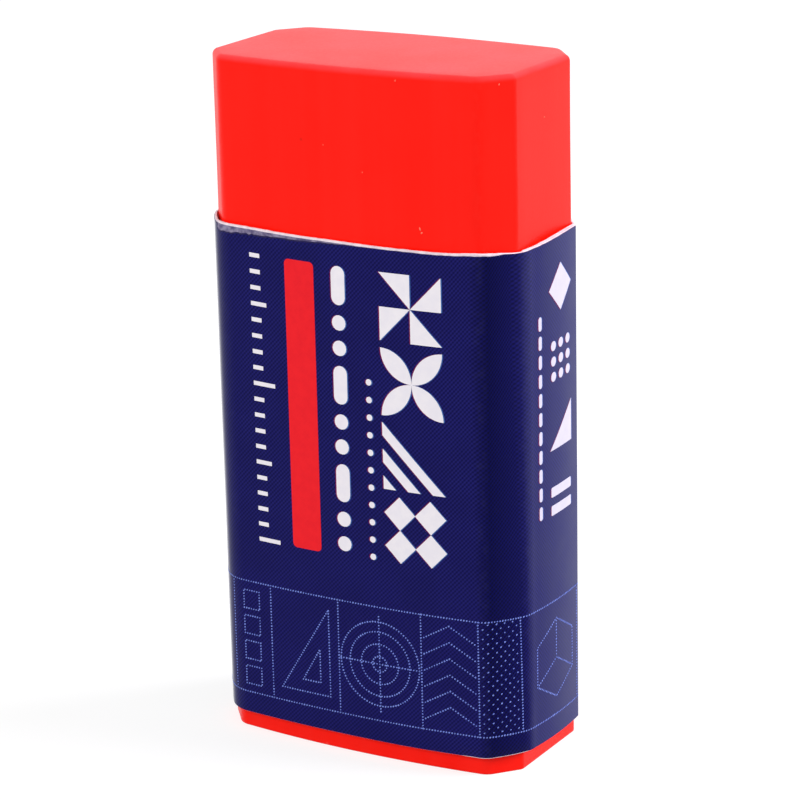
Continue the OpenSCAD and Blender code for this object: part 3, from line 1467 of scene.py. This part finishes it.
def rounded_box(left: float, foot: float, right: float, top: float, radius: float) -> Polygon:
    """An upright rectangle of ink with rounded corners.

    Args:
        left: Where its left side lies.
        foot: Where its lower side lies.
        right: Where its right side lies.
        top: Where its upper side lies.
        radius: Radius of its corners.

    Returns:
        Its points, counter-clockwise.
    """
    corners = (
        ((right - radius, top - radius), 0),
        ((left + radius, top - radius), 90),
        ((left + radius, foot + radius), 180),
        ((right - radius, foot + radius), 270),
    )
    return [point for centre, turn in corners for point in arc_points(centre, radius, turn, turn + 90, 6)]


def moved(points: Polygon, right: float, up: float) -> Polygon:
    """The same points, moved to the right and up."""
    return [(u + right, v + up) for u, v in points]


def leaf(start: Point, end: Point, steps: int = 14) -> Polygon:
    """A leaf between two corners of a square, bounded by two quarter circles.

    Args:
        start: Corner of the square at which the leaf starts.
        end: Opposite corner, at which it ends.
        steps: Steps along each quarter circle.

    Returns:
        Its points, counter-clockwise.
    """
    size = abs(end[0] - start[0])
    rising = (end[0] - start[0]) * (end[1] - start[1]) > 0
    left, right = sorted((start, end))
    if rising:
        lower = arc_points((left[0], right[1]), size, 270, 360, steps)
        upper = arc_points((right[0], left[1]), size, 90, 180, steps)
    else:
        lower = arc_points((right[0], left[1]), size, 180, 270, steps)
        upper = arc_points((left[0], right[1]), size, 0, 90, steps)
    return lower[:-1] + upper[:-1]


def petals(size: float) -> list[Polygon]:
    """Tile of four leaves that meet in its middle."""
    middle = (size / 2, size / 2)
    return [leaf(middle, corner) for corner in ((size, size), (0.0, size), (0.0, 0.0), (size, 0.0))]


def pinwheel(size: float) -> list[Polygon]:
    """Tile of four triangles that turn about its middle."""
    half = size / 2
    middle = (half, half)
    return [
        [middle, (half, size), (0.0, size)],
        [middle, (0.0, half), (0.0, 0.0)],
        [middle, (half, 0.0), (size, 0.0)],
        [middle, (size, half), (size, size)],
    ]


def slanted_bars(size: float, count: int = 3) -> list[Polygon]:
    """Tile of slanting bars that end at its sides.

    Args:
        size: Size of the tile.
        count: Count of the bars.

    Returns:
        The bars.
    """
    pitch = 2 * size / (2 * count - 1)
    bars = []
    for i in range(count):
        low, high = i * pitch, i * pitch + pitch / 2
        foot = [(min(c, size), max(c - size, 0.0)) for c in (low, high)]
        head = [(max(c - size, 0.0), min(c, size)) for c in (high, low)]
        corners = [(size, 0.0), (0.0, size)] if low < size < high else []
        bars.append(around(foot + corners + head))
    return bars


def around(points: Polygon) -> Polygon:
    """The corners of a convex shape, in order round it and each of them once."""
    corners = list(dict.fromkeys((round(u, 6), round(v, 6)) for u, v in points))
    middle = (sum(u for u, _ in corners) / len(corners), sum(v for _, v in corners) / len(corners))
    return sorted(corners, key=lambda c: math.atan2(c[1] - middle[1], c[0] - middle[0]))


def diamond(centre: Point, reach: float) -> Polygon:
    """A square of ink that stands on a corner."""
    u, v = centre
    return [(u + reach, v), (u, v + reach), (u - reach, v), (u, v - reach)]


def diamonds(size: float) -> list[Polygon]:
    """Tile of four diamonds."""
    middles = (size / 4, size * 3 / 4)
    return [diamond((u, v), size / 4) for u in middles for v in middles]


class NodeForm:
    """A Geometry Nodes tree in the making, with named inputs."""

    KINDS = {float: "NodeSocketFloat", int: "NodeSocketInt", bpy.types.Material: "NodeSocketMaterial"}

    def __init__(self, name: str, inputs: dict[str, type]) -> None:
        """Start a tree from one geometry to another.

        Args:
            name: Name of the tree.
            inputs: Its named inputs besides the geometry, with their kinds.
        """
        self.tree = bpy.data.node_groups.new(name, "GeometryNodeTree")
        self.graph = Graph(self.tree)
        self.tree.interface.new_socket(name="Geometry", in_out="INPUT", socket_type="NodeSocketGeometry")
        for key, kind in inputs.items():
            self.tree.interface.new_socket(name=key, in_out="INPUT", socket_type=self.KINDS[kind])
        self.tree.interface.new_socket(name="Geometry", in_out="OUTPUT", socket_type="NodeSocketGeometry")
        self.inputs = self.graph.add("NodeGroupInput").outputs

    def finish(self, geometry: Socket) -> None:
        """End the tree in real geometry that has the material which was put in."""
        real = self.graph.add("GeometryNodeRealizeInstances", {"Geometry": geometry})
        dressed = self.graph.add(
            "GeometryNodeSetMaterial", {"Geometry": real.outputs[0], "Material": self.inputs["Material"]}
        )
        self.graph.add("NodeGroupOutput", {"Geometry": dressed.outputs[0]})

    def bake(self, mesh: bpy.types.Mesh, values: dict[str, object]) -> bpy.types.Mesh:
        """Run a mesh through the tree.

        Args:
            mesh: The mesh that goes in.
            values: Value of each named input.

        Returns:
            A plain mesh of what comes out.
        """
        carrier = added("carrier", mesh)
        modifier = carrier.modifiers.new("form", "NODES")
        modifier.node_group = self.tree
        for item in self.tree.interface.items_tree:
            if item.in_out == "INPUT" and item.name in values:
                modifier[item.identifier] = values[item.name]
        graph = bpy.context.evaluated_depsgraph_get()
        made = bpy.data.meshes.new_from_object(carrier.evaluated_get(graph))
        carrier.modifiers.clear()
        bpy.data.objects.remove(carrier)
        return made


def dotted_line_form() -> NodeForm:
    """Lines of slanting ink dots, as a printer's screen breaks a thin line up."""
    measures = dict.fromkeys(("Spacing", "Dot Length", "Dot Width", "Ink", "Slant"), float)
    form = NodeForm("dotted_line", {**measures, "Seed": int, "Material": bpy.types.Material})
    graph, inputs = form.graph, form.inputs
    curve = graph.add("GeometryNodeMeshToCurve", {"Mesh": inputs["Geometry"]})
    points = graph.add(
        "GeometryNodeCurveToPoints", {"Curve": curve.outputs[0], "Length": inputs["Spacing"]}, mode="LENGTH"
    )
    dot = graph.add("GeometryNodeMeshCylinder", {"Vertices": 6, "Radius": 0.5, "Depth": 1.0})
    size = graph.add(
        "ShaderNodeCombineXYZ", {0: inputs["Dot Length"], 1: inputs["Dot Width"], 2: inputs["Ink"]}
    )
    uneven = graph.add("FunctionNodeRandomValue", {"Seed": inputs["Seed"]}, data_type="FLOAT")
    for name, value in (("Min_001", 0.82), ("Max_001", 1.12)):
        next(s for s in uneven.inputs if s.identifier == name).default_value = value
    varied = graph.add("ShaderNodeCombineXYZ", {0: uneven.outputs[1], 1: uneven.outputs[1], 2: 1.0})
    sizes = {0: size.outputs[0], 1: varied.outputs[0]}
    scale = graph.add("ShaderNodeVectorMath", sizes, operation="MULTIPLY")
    turn = graph.add("ShaderNodeCombineXYZ", {2: inputs["Slant"]})
    dots = {"Points": points.outputs[0], "Instance": dot.outputs[0]}
    turned = {"Rotation": turn.outputs[0], "Scale": scale.outputs[0]}
    placed = graph.add("GeometryNodeInstanceOnPoints", {**dots, **turned})
    form.finish(placed.outputs[0])
    return form


def graduation_form() -> NodeForm:
    """A ruler's graduation: ticks at a pitch, of which every fifth is longer and every tenth longest."""
    measures = dict.fromkeys(("Pitch", "Short", "Middle", "Long", "Width", "Ink"), float)
    form = NodeForm("graduation", {"Count": int, **measures, "Material": bpy.types.Material})
    graph, inputs = form.graph, form.inputs
    step = graph.add("ShaderNodeCombineXYZ", {1: inputs["Pitch"]})
    row = graph.add("GeometryNodeMeshLine", {"Count": inputs["Count"], "Offset": step.outputs[0]})
    box = graph.add("GeometryNodeMeshCube")
    tick = graph.add("GeometryNodeTransform", {"Geometry": box.outputs[0], "Translation": (0.5, 0.0, 0.0)})
    index = graph.add("GeometryNodeInputIndex").outputs[0]
    length = inputs["Short"]
    for every, name in ((5, "Middle"), (10, "Long")):
        rest = graph.math("MODULO", index, float(every))
        chosen = graph.math("LESS_THAN", rest, 0.5)
        more = graph.math("SUBTRACT", inputs[name], length)
        length = graph.math("MULTIPLY_ADD", chosen, more, length)
    size = graph.add("ShaderNodeCombineXYZ", {0: length, 1: inputs["Width"], 2: inputs["Ink"]})
    placed = graph.add(
        "GeometryNodeInstanceOnPoints",
        {"Points": row.outputs[0], "Instance": tick.outputs[0], "Scale": size.outputs[0]},
    )
    form.finish(placed.outputs[0])
    return form


@dataclass(frozen=True)
class Line:
    """A line on the flat blank.

    Attributes:
        points: Its points.
        closed: True if its last point is joined to its first.
    """

    points: Polygon
    closed: bool = False

    def moved(self, right: float) -> "Line":
        """The same line, moved along the strip."""
        return replace(self, points=moved(self.points, right, 0.0))


def path_mesh(paths: Iterable[Line]) -> bpy.types.Mesh:
    """Lines on the flat blank, as the bare edges of a mesh.

    Args:
        paths: The lines.

    Returns:
        The mesh.
    """
    verts, edges = [], []
    for path in paths:
        first = len(verts)
        verts += [(u, v, 0.0) for u, v in path.points]
        edges += [(i, i + 1) for i in range(first, len(verts) - 1)]
        if path.closed:
            edges.append((len(verts) - 1, first))
    mesh = bpy.data.meshes.new("paths")
    mesh.from_pydata(verts, edges, [])
    return mesh


@dataclass(frozen=True)
class Band:
    """The band of small dotted drawings near the sleeve's foot, in millimetres on the flat blank.

    Attributes:
        foot: Height of its lower line.
        top: Height of its upper line.
    """

    foot: float = 1.38
    top: float = 8.79

    # How far the two long lines start before the middle of the back, and end before the panel's free edge
    LEAD = 11.9
    TAIL = 0.05
    # Uprights between the cells of a broad face, from its middle
    CELLS = (-8.9, -5.9, -0.9, 4.9, 8.72, 11.58)
    # Left and right of the squares, the lowest one's height above the band's foot, and their pitch
    SQUARES = (-8.0, -6.8)
    SQUARE_FOOT = 0.55
    SQUARE_PITCH = 1.68
    # Outline and opening of the set square, above the band's foot
    SET_SQUARE = [(-5.2, 0.9), (-1.6, 0.9), (-1.6, 6.61)]
    OPENING = [(-3.6, 1.7), (-2.3, 1.7), (-2.3, 3.9)]
    # Middle of the rings, their radii, and the reach of the cross over them, across and upwards
    RINGS_AT = 2.0
    RINGS = (2.75, 2.1, 1.3, 0.5)
    CROSS = (2.75, 3.1)
    # The lowest chevron, above the band's foot, and the pitch of the chevrons
    CHEVRON = [(5.1, 0.7), (6.8, 1.65), (8.5, 0.7)]
    CHEVRON_PITCH = 1.05
    # Middle and radius of the cube on a narrow side, and the upright beside it
    CUBE_AT = -0.1
    CUBE = 2.55
    SIDE_UPRIGHT = 2.85
    # Left and right of the seeds, the pitch of their columns, and their step up a column
    SEEDS = (9.0, 11.28)
    SEED_PITCH = 0.31
    SEED_STEP = 0.58

    @property
    def middle(self) -> float:
        """Height of the band's middle."""
        return (self.foot + self.top) / 2

    def upright(self, u: float) -> Line:
        """Line up the whole band."""
        return Line([(u, self.foot), (u, self.top)])

    def squares(self) -> list[Line]:
        """Column of four squares."""
        left, right = self.SQUARES
        size = right - left
        square = [(left, 0.0), (right, 0.0), (right, size), (left, size)]
        feet = [self.foot + self.SQUARE_FOOT + i * self.SQUARE_PITCH for i in range(4)]
        return [Line(moved(square, 0.0, v), closed=True) for v in feet]

    def set_square(self) -> list[Line]:
        """A set square with its opening."""
        return [Line(moved(shape, 0.0, self.foot), closed=True) for shape in (self.SET_SQUARE, self.OPENING)]

    def rings(self) -> list[Line]:
        """Rings under a cross."""
        u, v = self.RINGS_AT, self.middle
        across, upward = self.CROSS
        rings = [Line(disc((u, v), radius, 40), closed=True) for radius in self.RINGS]
        return rings + [Line([(u, v - upward), (u, v + upward)]), Line([(u - across, v), (u + across, v)])]

    def chevrons(self) -> list[Line]:
        """Column of six chevrons."""
        return [Line(moved(self.CHEVRON, 0.0, self.foot + i * self.CHEVRON_PITCH)) for i in range(6)]

    def broad(self) -> list[Line]:
        """Drawings on a broad face, about its middle."""
        uprights = [self.upright(u) for u in self.CELLS]
        return uprights + self.squares() + self.set_square() + self.rings() + self.chevrons()

    def narrow(self) -> list[Line]:
        """Drawing on a narrow side, about its middle: a cube and an upright."""
        centre = (self.CUBE_AT, self.middle)
        corners = disc(centre, self.CUBE, 6, start=90)
        edges = [Line([centre, corners[i]]) for i in (0, 2, 4)]
        return [Line(corners, closed=True), *edges, self.upright(self.SIDE_UPRIGHT)]

    def seeds(self) -> list[Line]:
        """Upright lines for the staggered seeds over the chamfer right of a broad face."""
        foot = self.foot + self.SEED_STEP / 2
        length = self.SEED_STEP * (math.floor((self.top - foot) / self.SEED_STEP) - 0.5)
        lines = []
        for i, u in enumerate(spaced(*self.SEEDS, self.SEED_PITCH)):
            start = foot + (i % 2) * self.SEED_STEP / 2
            lines.append(Line([(u, start), (u, start + length)]))
        return lines

    def lines(self, wrap: Wrap) -> list[Line]:
        """All lines of the band but those of the seeds.

        Args:
            wrap: The strip that the band is printed on.

        Returns:
            The lines, round the whole strip.
        """
        start, end = wrap.middles[Face.BACK] - self.LEAD, wrap.length - self.TAIL
        lines = [Line([(start, v), (end, v)]) for v in (self.foot, self.top)]
        for faces, drawings in ((BROAD_FACES[::-1], self.broad()), (NARROW_SIDES, self.narrow())):
            lines += [line.moved(wrap.middles[face]) for face in faces for line in drawings]
        return lines


@dataclass
class Print:
    """The print on the card: plain shapes, lines and dots, laid out on the flat blank, in millimetres.

    Attributes:
        sleeve: The sleeve that is printed.
        ink: How far the ink stands out of the card's face.
        fringe: The same for the other inks that peep out beside the white.
        sunk: How far the ink reaches into the card.
        misfit: How far the plates of those other inks lie off the white shapes' own place.
        foot: Height at which the print above the band starts.
        top: Height at which it ends.
        band: The band of small drawings below it.
    """

    sleeve: CardSleeve
    ink: float = 0.012
    fringe: float = 0.006
    sunk: float = 0.02
    misfit: float = 0.075
    foot: float = 11.7
    top: float = 29.9
    band: Band = Band()
    white: InkFinish = InkFinish("white_ink_finish", paint(236, 231, 236), paint(226, 222, 232))
    dim_white: InkFinish = InkFinish("dim_white_ink_finish", paint(208, 204, 220), paint(200, 196, 214))
    red: InkFinish = InkFinish("red_ink_finish", paint(236, 36, 44), paint(226, 31, 42), 0.2)
    pale: InkFinish = InkFinish("pale_blue_ink_finish", paint(124, 142, 220), paint(86, 104, 194), 0.4)
    left_fringe: InkFinish = InkFinish("red_fringe_finish", paint(124, 26, 78), paint(84, 14, 66))
    right_fringe: InkFinish = InkFinish("blue_fringe_finish", paint(66, 104, 168), paint(34, 62, 136))

    # Left and right of the red label, and the radius of its corners
    LABEL = (-4.03, -1.95)
    LABEL_CORNER = 0.3
    # Left side and size of the bold tiles, and the gap between them
    TILES_AT = 2.62
    TILE = 4.2
    TILE_GAP = 0.42
    # Middle of the column of bars and dots, their width, their lengths from the top, and their gap
    BEADS_AT = -0.25
    BEAD = 0.95
    BEADS = (2.4, 0.95, 0.95) * 3
    BEAD_GAP = 0.62
    # Middle of the column of small dots, their radius, and the lowest, the highest and the pitch
    DOTS_AT = 1.75
    DOT = 0.2
    DOTS = (12.0, 23.0, 1.1)
    # Middle of the marks on a narrow side
    MARKS_AT = 0.7
    # Height of the diamond's middle, and its reach
    DIAMOND_AT = 28.3
    DIAMOND = 1.45
    # Height of the middle of the nine dots, their pitch and their radius
    NINE_AT = 23.9
    NINE_PITCH = 0.95
    NINE = 0.3
    # The triangle, and the feet of the two bars, with their reach to either side, height and corners
    TRIANGLE = [(-0.7, 18.4), (2.1, 18.4), (2.1, 21.0)]
    BARS = (14.3, 15.45)
    BAR_REACH = 1.3
    BAR = 0.62
    BAR_CORNER = 0.1
    # Middle of the column of dashes, a dash's length and width, and the lowest, the highest and the pitch
    DASHES_AT = -1.8
    DASH = (0.86, 0.34)
    DASHES = (14.8, 26.6, 1.3)
    # Left side of the ruler's ticks, from the middle of a broad face, and their foot above the print's own
    RULE_AT = (-6.6, 0.05)
    RULE = {"Count": 19, "Pitch": 1.0, "Short": 0.75, "Middle": 1.15, "Long": 1.6, "Width": 0.26}
    # Ink dots of the band's lines and of its seeds
    DOTTED = {"Spacing": 0.19, "Dot Length": 0.125, "Dot Width": 0.1, "Seed": 4}
    SEEDED = {"Spacing": Band.SEED_STEP, "Dot Length": 0.13, "Dot Width": 0.085, "Seed": 9}
    DOT_SLANT = math.radians(38)
    # Height of the strips that tall ink is cut into, and how near a corner a cut goes through it
    CUT_STEP = 0.9
    CUT_MARGIN = 1e-5

    def __post_init__(self) -> None:
        """Make the forms that the print is made with."""
        self.wrap = self.sleeve.wrap
        self.dotted = dotted_line_form()
        self.graduation = graduation_form()

    def cut(self, work: bmesh.types.BMesh) -> None:
        """Cut a flat mesh where the card bends, so that it can follow the card.

        Args:
            work: The flat mesh.
        """
        across = [vert.co.x for vert in work.verts]
        upward = [vert.co.y for vert in work.verts]
        marks = [m for m in self.wrap.marks if min(across) < m < max(across)]
        heights = spaced(min(upward), max(upward), self.CUT_STEP)[1:-1]
        cuts = [((m, 0, 0), (1, 0, 0)) for m in marks] + [((0, h, 0), (0, 1, 0)) for h in heights]
        for place, normal in cuts:
            parts = work.verts[:] + work.edges[:] + work.faces[:]
            bmesh.ops.bisect_plane(work, geom=parts, dist=self.CUT_MARGIN, plane_co=place, plane_no=normal)

    def pads(self, shapes: Iterable[Polygon], height: float) -> bmesh.types.BMesh:
        """Flat pads of ink, cut where the card bends.

        Args:
            shapes: The outlines of the pads.
            height: How far they stand out of the card's face.

        Returns:
            The mesh in the making.
        """
        work = bmesh.new()
        for shape in shapes:
            work.faces.new([work.verts.new((u, v, -self.sunk)) for u, v in shape])
        bmesh.ops.triangulate(work, faces=work.faces)
        self.cut(work)
        raised = bmesh.ops.extrude_face_region(work, geom=work.faces[:])["geom"]
        for vert in raised:
            if isinstance(vert, bmesh.types.BMVert):
                vert.co.z = height
        return work

    def formed(
        self, form: NodeForm, lines: bpy.types.Mesh, values: dict[str, object], at: Point = (0.0, 0.0)
    ) -> bmesh.types.BMesh:
        """Ink that a form makes, at its level in the card.

        Args:
            form: The form.
            lines: The mesh that goes into it.
            values: Value of each of its named inputs but the ink's own thickness.
            at: How far the ink is moved along the strip and up it.

        Returns:
            The mesh in the making.
        """
        work = bmesh.new()
        work.from_mesh(form.bake(lines, {**values, "Ink": self.ink + self.sunk}))
        bmesh.ops.translate(work, verts=work.verts, vec=(*at, (self.ink - self.sunk) / 2))
        return work

    def piece(self, name: str, work: bmesh.types.BMesh, material: bpy.types.Material) -> bpy.types.Object:
        """Wrap flat ink round the bar with the card.

        Args:
            name: Name of the piece.
            work: The flat ink, which is freed.
            material: The ink's material.

        Returns:
            The piece.
        """
        blank = work.loops.layers.uv.new(BLANK_MAP)
        for face in work.faces:
            for loop in face.loops:
                loop[blank].uv = (loop.vert.co.x / BLANK_SPAN, loop.vert.co.y / BLANK_SPAN)
        for vert in work.verts:
            vert.co = self.wrap.place(*vert.co)
        bmesh.ops.recalc_face_normals(work, faces=work.faces)
        return new_piece(name, finished(work, name.removeprefix("print_"), crease=40), [material])

    def tiles(self) -> list[Polygon]:
        """Column of four bold tiles."""
        column = []
        for i, tile in enumerate((pinwheel, petals, slanted_bars, diamonds)):
            foot = self.top - self.TILE - i * (self.TILE + self.TILE_GAP)
            column += [moved(shape, self.TILES_AT, foot) for shape in tile(self.TILE)]
        return column

    def beads(self) -> list[Polygon]:
        """Column of long and short bars, and a column of small dots beside it."""
        column, top = [], self.top
        for length in self.BEADS:
            column.append(pill((self.BEADS_AT, top - length / 2), length, self.BEAD))
            top -= length + self.BEAD_GAP
        return column + [disc((self.DOTS_AT, v), self.DOT, 14) for v in spaced(*self.DOTS)]

    def side_marks(self) -> list[Polygon]:
        """Marks of a narrow side: a diamond, nine dots, a triangle, two bars and a column of dashes."""
        u, steps = self.MARKS_AT, (-self.NINE_PITCH, 0.0, self.NINE_PITCH)
        left, right = u - self.BAR_REACH, u + self.BAR_REACH
        marks = [diamond((u, self.DIAMOND_AT), self.DIAMOND)]
        marks += [disc((u + i, self.NINE_AT + j), self.NINE, 18) for i in steps for j in steps]
        marks.append(self.TRIANGLE)
        marks += [rounded_box(left, v, right, v + self.BAR, self.BAR_CORNER) for v in self.BARS]
        return marks + [pill((self.DASHES_AT, v), *self.DASH) for v in spaced(*self.DASHES)]

    def label(self) -> Polygon:
        """The red label."""
        left, right = self.LABEL
        return rounded_box(left, self.foot, right, self.top, self.LABEL_CORNER)

    def repeated(self, shapes: Iterable[Polygon], faces: Iterable[Face]) -> list[Polygon]:
        """Shapes about the middle of each of some faces."""
        return [moved(shape, self.wrap.middles[face], 0.0) for face in faces for shape in shapes]

    def build(self) -> None:
        """Print the sleeve, one piece for each ink and kind of mark."""
        white, dim, red, pale = (f.material() for f in (self.white, self.dim_white, self.red, self.pale))
        broad = self.repeated(self.tiles() + self.beads(), BROAD_FACES)
        narrow = self.repeated(self.side_marks(), NARROW_SIDES)
        labels = self.repeated([self.label()], BROAD_FACES)
        pieces = [
            self.piece("print_white_shapes", self.pads(broad, self.ink), white),
            self.piece("print_side_shapes", self.pads(narrow, self.ink), dim),
            self.piece("print_red_label", self.pads(labels, self.ink), red),
        ]
        for name, finish, shift in (
            ("print_red_fringe", self.left_fringe, -self.misfit),
            ("print_blue_fringe", self.right_fringe, self.misfit),
        ):
            pads = self.pads([moved(shape, shift, 0.0) for shape in broad + narrow], self.fringe)
            pieces.append(self.piece(name, pads, finish.material()))

        middles = self.wrap.middles
        seeds = [line.moved(middles[face]) for face in BROAD_FACES for line in self.band.seeds()]
        for name, lines, values in (
            ("print_pale_dots", self.band.lines(self.wrap), self.DOTTED),
            ("print_pale_seeds", seeds, self.SEEDED),
        ):
            values = {**values, "Slant": self.DOT_SLANT, "Material": pale}
            pieces.append(self.piece(name, self.formed(self.dotted, path_mesh(lines), values), pale))
        left, foot = self.RULE_AT
        for face in BROAD_FACES:
            at = (middles[face] + left, self.foot + foot)
            values = {**self.RULE, "Material": white}
            rule = self.formed(self.graduation, bpy.data.meshes.new("empty"), values, at)
            self.cut(rule)
            pieces.append(self.piece(f"print_scale_{face.value}", rule, white))
        for piece in pieces:
            seat(piece, self.sleeve.body, self.sleeve.slot)


def bearing(azimuth: float, elevation: float) -> Vector:
    """Unit vector away from the object, at angles in degrees round it and above the horizon."""
    turn, tilt = math.radians(azimuth), math.radians(elevation)
    return Vector((math.sin(turn) * math.cos(tilt), -math.cos(turn) * math.cos(tilt), math.sin(tilt)))


@dataclass
class Studio:
    """Pale floor, soft surroundings, lamps and the camera, in metres and degrees.

    Attributes:
        azimuth: Angle of the camera round the object, from straight in front towards the right.
        elevation: Angle of the camera above the horizon.
        roll: Turn of the camera about its own line of sight.
        distance: Distance from the camera to the point that it looks at.
        lens: Focal length of the camera, in its usual millimetres.
        across: How far the point that it looks at lies to the right of the object's middle.
        above: How far that point lies above the object's middle.
        floor_size: Width of the square floor.
        ambient: Colour of the soft light from all round.
        white: Colour of the backdrop.
    """

    azimuth: float = 30.7511
    elevation: float = 16.8785
    roll: float = -1.2822
    distance: float = 0.1925964
    lens: float = 140.8054
    across: float = 0.0001999
    above: float = -0.0002385
    floor_size: float = 3.0
    ambient: Colour = grey(0.42)
    white: Colour = grey(1.0)

    # Width of the camera's picture, in its usual millimetres, and the nearest that it sees
    SENSOR = 36
    NEAR = 0.01
    LAMP_ELEVATION = 30
    LAMP_DISTANCE = 0.6
    LAMP_SIZE = 0.4
    # Clouded greys of the floor in the light that it throws back, and its grey and glow for the camera
    FLOOR_CLOUDS = (grey(0.3), grey(0.34))
    FLOOR_SEEN = grey(0.34)
    FLOOR_GLOW = 0.72

    def aim(self) -> Matrix:
        """The camera's turn: its right, its up and the way back from what it looks at."""
        turn, roll = math.radians(self.azimuth), math.radians(self.roll)
        back = bearing(self.azimuth, self.elevation)
        level = Vector((math.cos(turn), math.sin(turn), 0.0))
        up = back.cross(level)
        right = math.cos(roll) * level + math.sin(roll) * up
        return Matrix((right, back.cross(right), back)).transposed()

    def camera(self) -> None:
        """Set the camera up at the photograph's viewing angle."""
        low, high = (Vector(corner) for corner in CAD_BOX)
        turn = self.aim()
        right, up, back = turn.transposed()
        target = (low + high) / 2 + right * self.across + up * self.above
        camera = added("camera", bpy.data.cameras.new("camera"))
        camera.data.lens = self.lens
        camera.data.sensor_width = self.SENSOR
        camera.data.clip_start = self.NEAR
        camera.matrix_world = Matrix.Translation(target + back * self.distance) @ turn.to_4x4()
        bpy.context.scene.camera = camera

    @staticmethod
    def seen(graph: Graph) -> Socket:
        """1 for what the camera sees, straight or mirrored, and 0 for the light that falls on things."""
        rays = graph.add("ShaderNodeLightPath").outputs
        mirrored = graph.math("MAXIMUM", rays["Is Glossy Ray"], rays["Is Transmission Ray"])
        return graph.math("MAXIMUM", rays["Is Camera Ray"], mirrored)

    def world(self) -> None:
        """Surround the object with plain soft light, in front of a white backdrop."""
        world = bpy.data.worlds.new("surroundings")
        bpy.context.scene.world = world
        world.use_nodes = True
        graph = Graph(world.node_tree)
        colour = graph.mix(self.seen(graph), self.ambient, self.white)
        light = graph.add("ShaderNodeBackground", {"Color": colour})
        graph.add("ShaderNodeOutputWorld", {"Surface": light.outputs[0]})

    def lamp(self, name: str, azimuth: float, power: float, colour: tuple[float, float, float]) -> None:
        """Hang a soft square lamp.

        Args:
            name: Its name.
            azimuth: Where it hangs round the object, in the camera's terms.
            power: Its power in watts.
            colour: Colour of its light.
        """
        way = bearing(azimuth, self.LAMP_ELEVATION)
        light = bpy.data.lights.new(name, "AREA")
        light.size = self.LAMP_SIZE
        light.energy = power
        light.color = colour
        lamp = added(name, light)
        turn = way.to_track_quat("Z", "Y").to_matrix().to_4x4()
        lamp.matrix_world = Matrix.Translation(way * self.LAMP_DISTANCE) @ turn
        lamp.visible_glossy = False

    def floor(self) -> None:
        """Lay the pale floor that the object stands on."""
        mesh = bpy.data.meshes.new("floor")
        half = self.floor_size / 2
        corners = [(-half, -half, 0), (half, -half, 0), (half, half, 0), (-half, half, 0)]
        mesh.from_pydata(corners, [], [(0, 1, 2, 3)])
        material, graph = new_material("floor_finish")
        cloud = graph.effect("mottle", graph.place(), Scale=20.0, Detail=2.0)
        seen = self.seen(graph)
        colour = graph.mix(seen, graph.mix(cloud, *self.FLOOR_CLOUDS), self.FLOOR_SEEN)
        glow = graph.math("MULTIPLY", seen, self.FLOOR_GLOW)
        surface(
            graph,
            "floor",
            Base_Color=colour,
            Roughness=0.9,
            Specular_IOR_Level=0.0,
            Emission_Color=self.white,
            Emission_Strength=glow,
        )
        mesh.materials.append(material)
        floor = added("floor", mesh)

    def build(self) -> None:
        """Set the whole studio up."""
        bpy.context.scene.view_settings.view_transform = "Standard"
        self.camera()
        self.world()
        self.lamp("key", azimuth=-12, power=2.65, colour=(1.0, 1.0, 1.0))
        self.lamp("side", azimuth=120, power=5.4, colour=(0.95, 0.92, 1.0))
        self.floor()


def main() -> None:
    """Build the studio and the eraser, and report each piece."""
    logging.basicConfig(level=logging.INFO, format="%(name)s: %(message)s")
    make_shared_effects()
    Studio().build()
    bar = RubberBar()
    bar.build()
    Crumbs(bar).build()
    sleeve = CardSleeve(bar)
    sleeve.build()
    Print(sleeve).build()


if __name__ == "__main__":
    main()
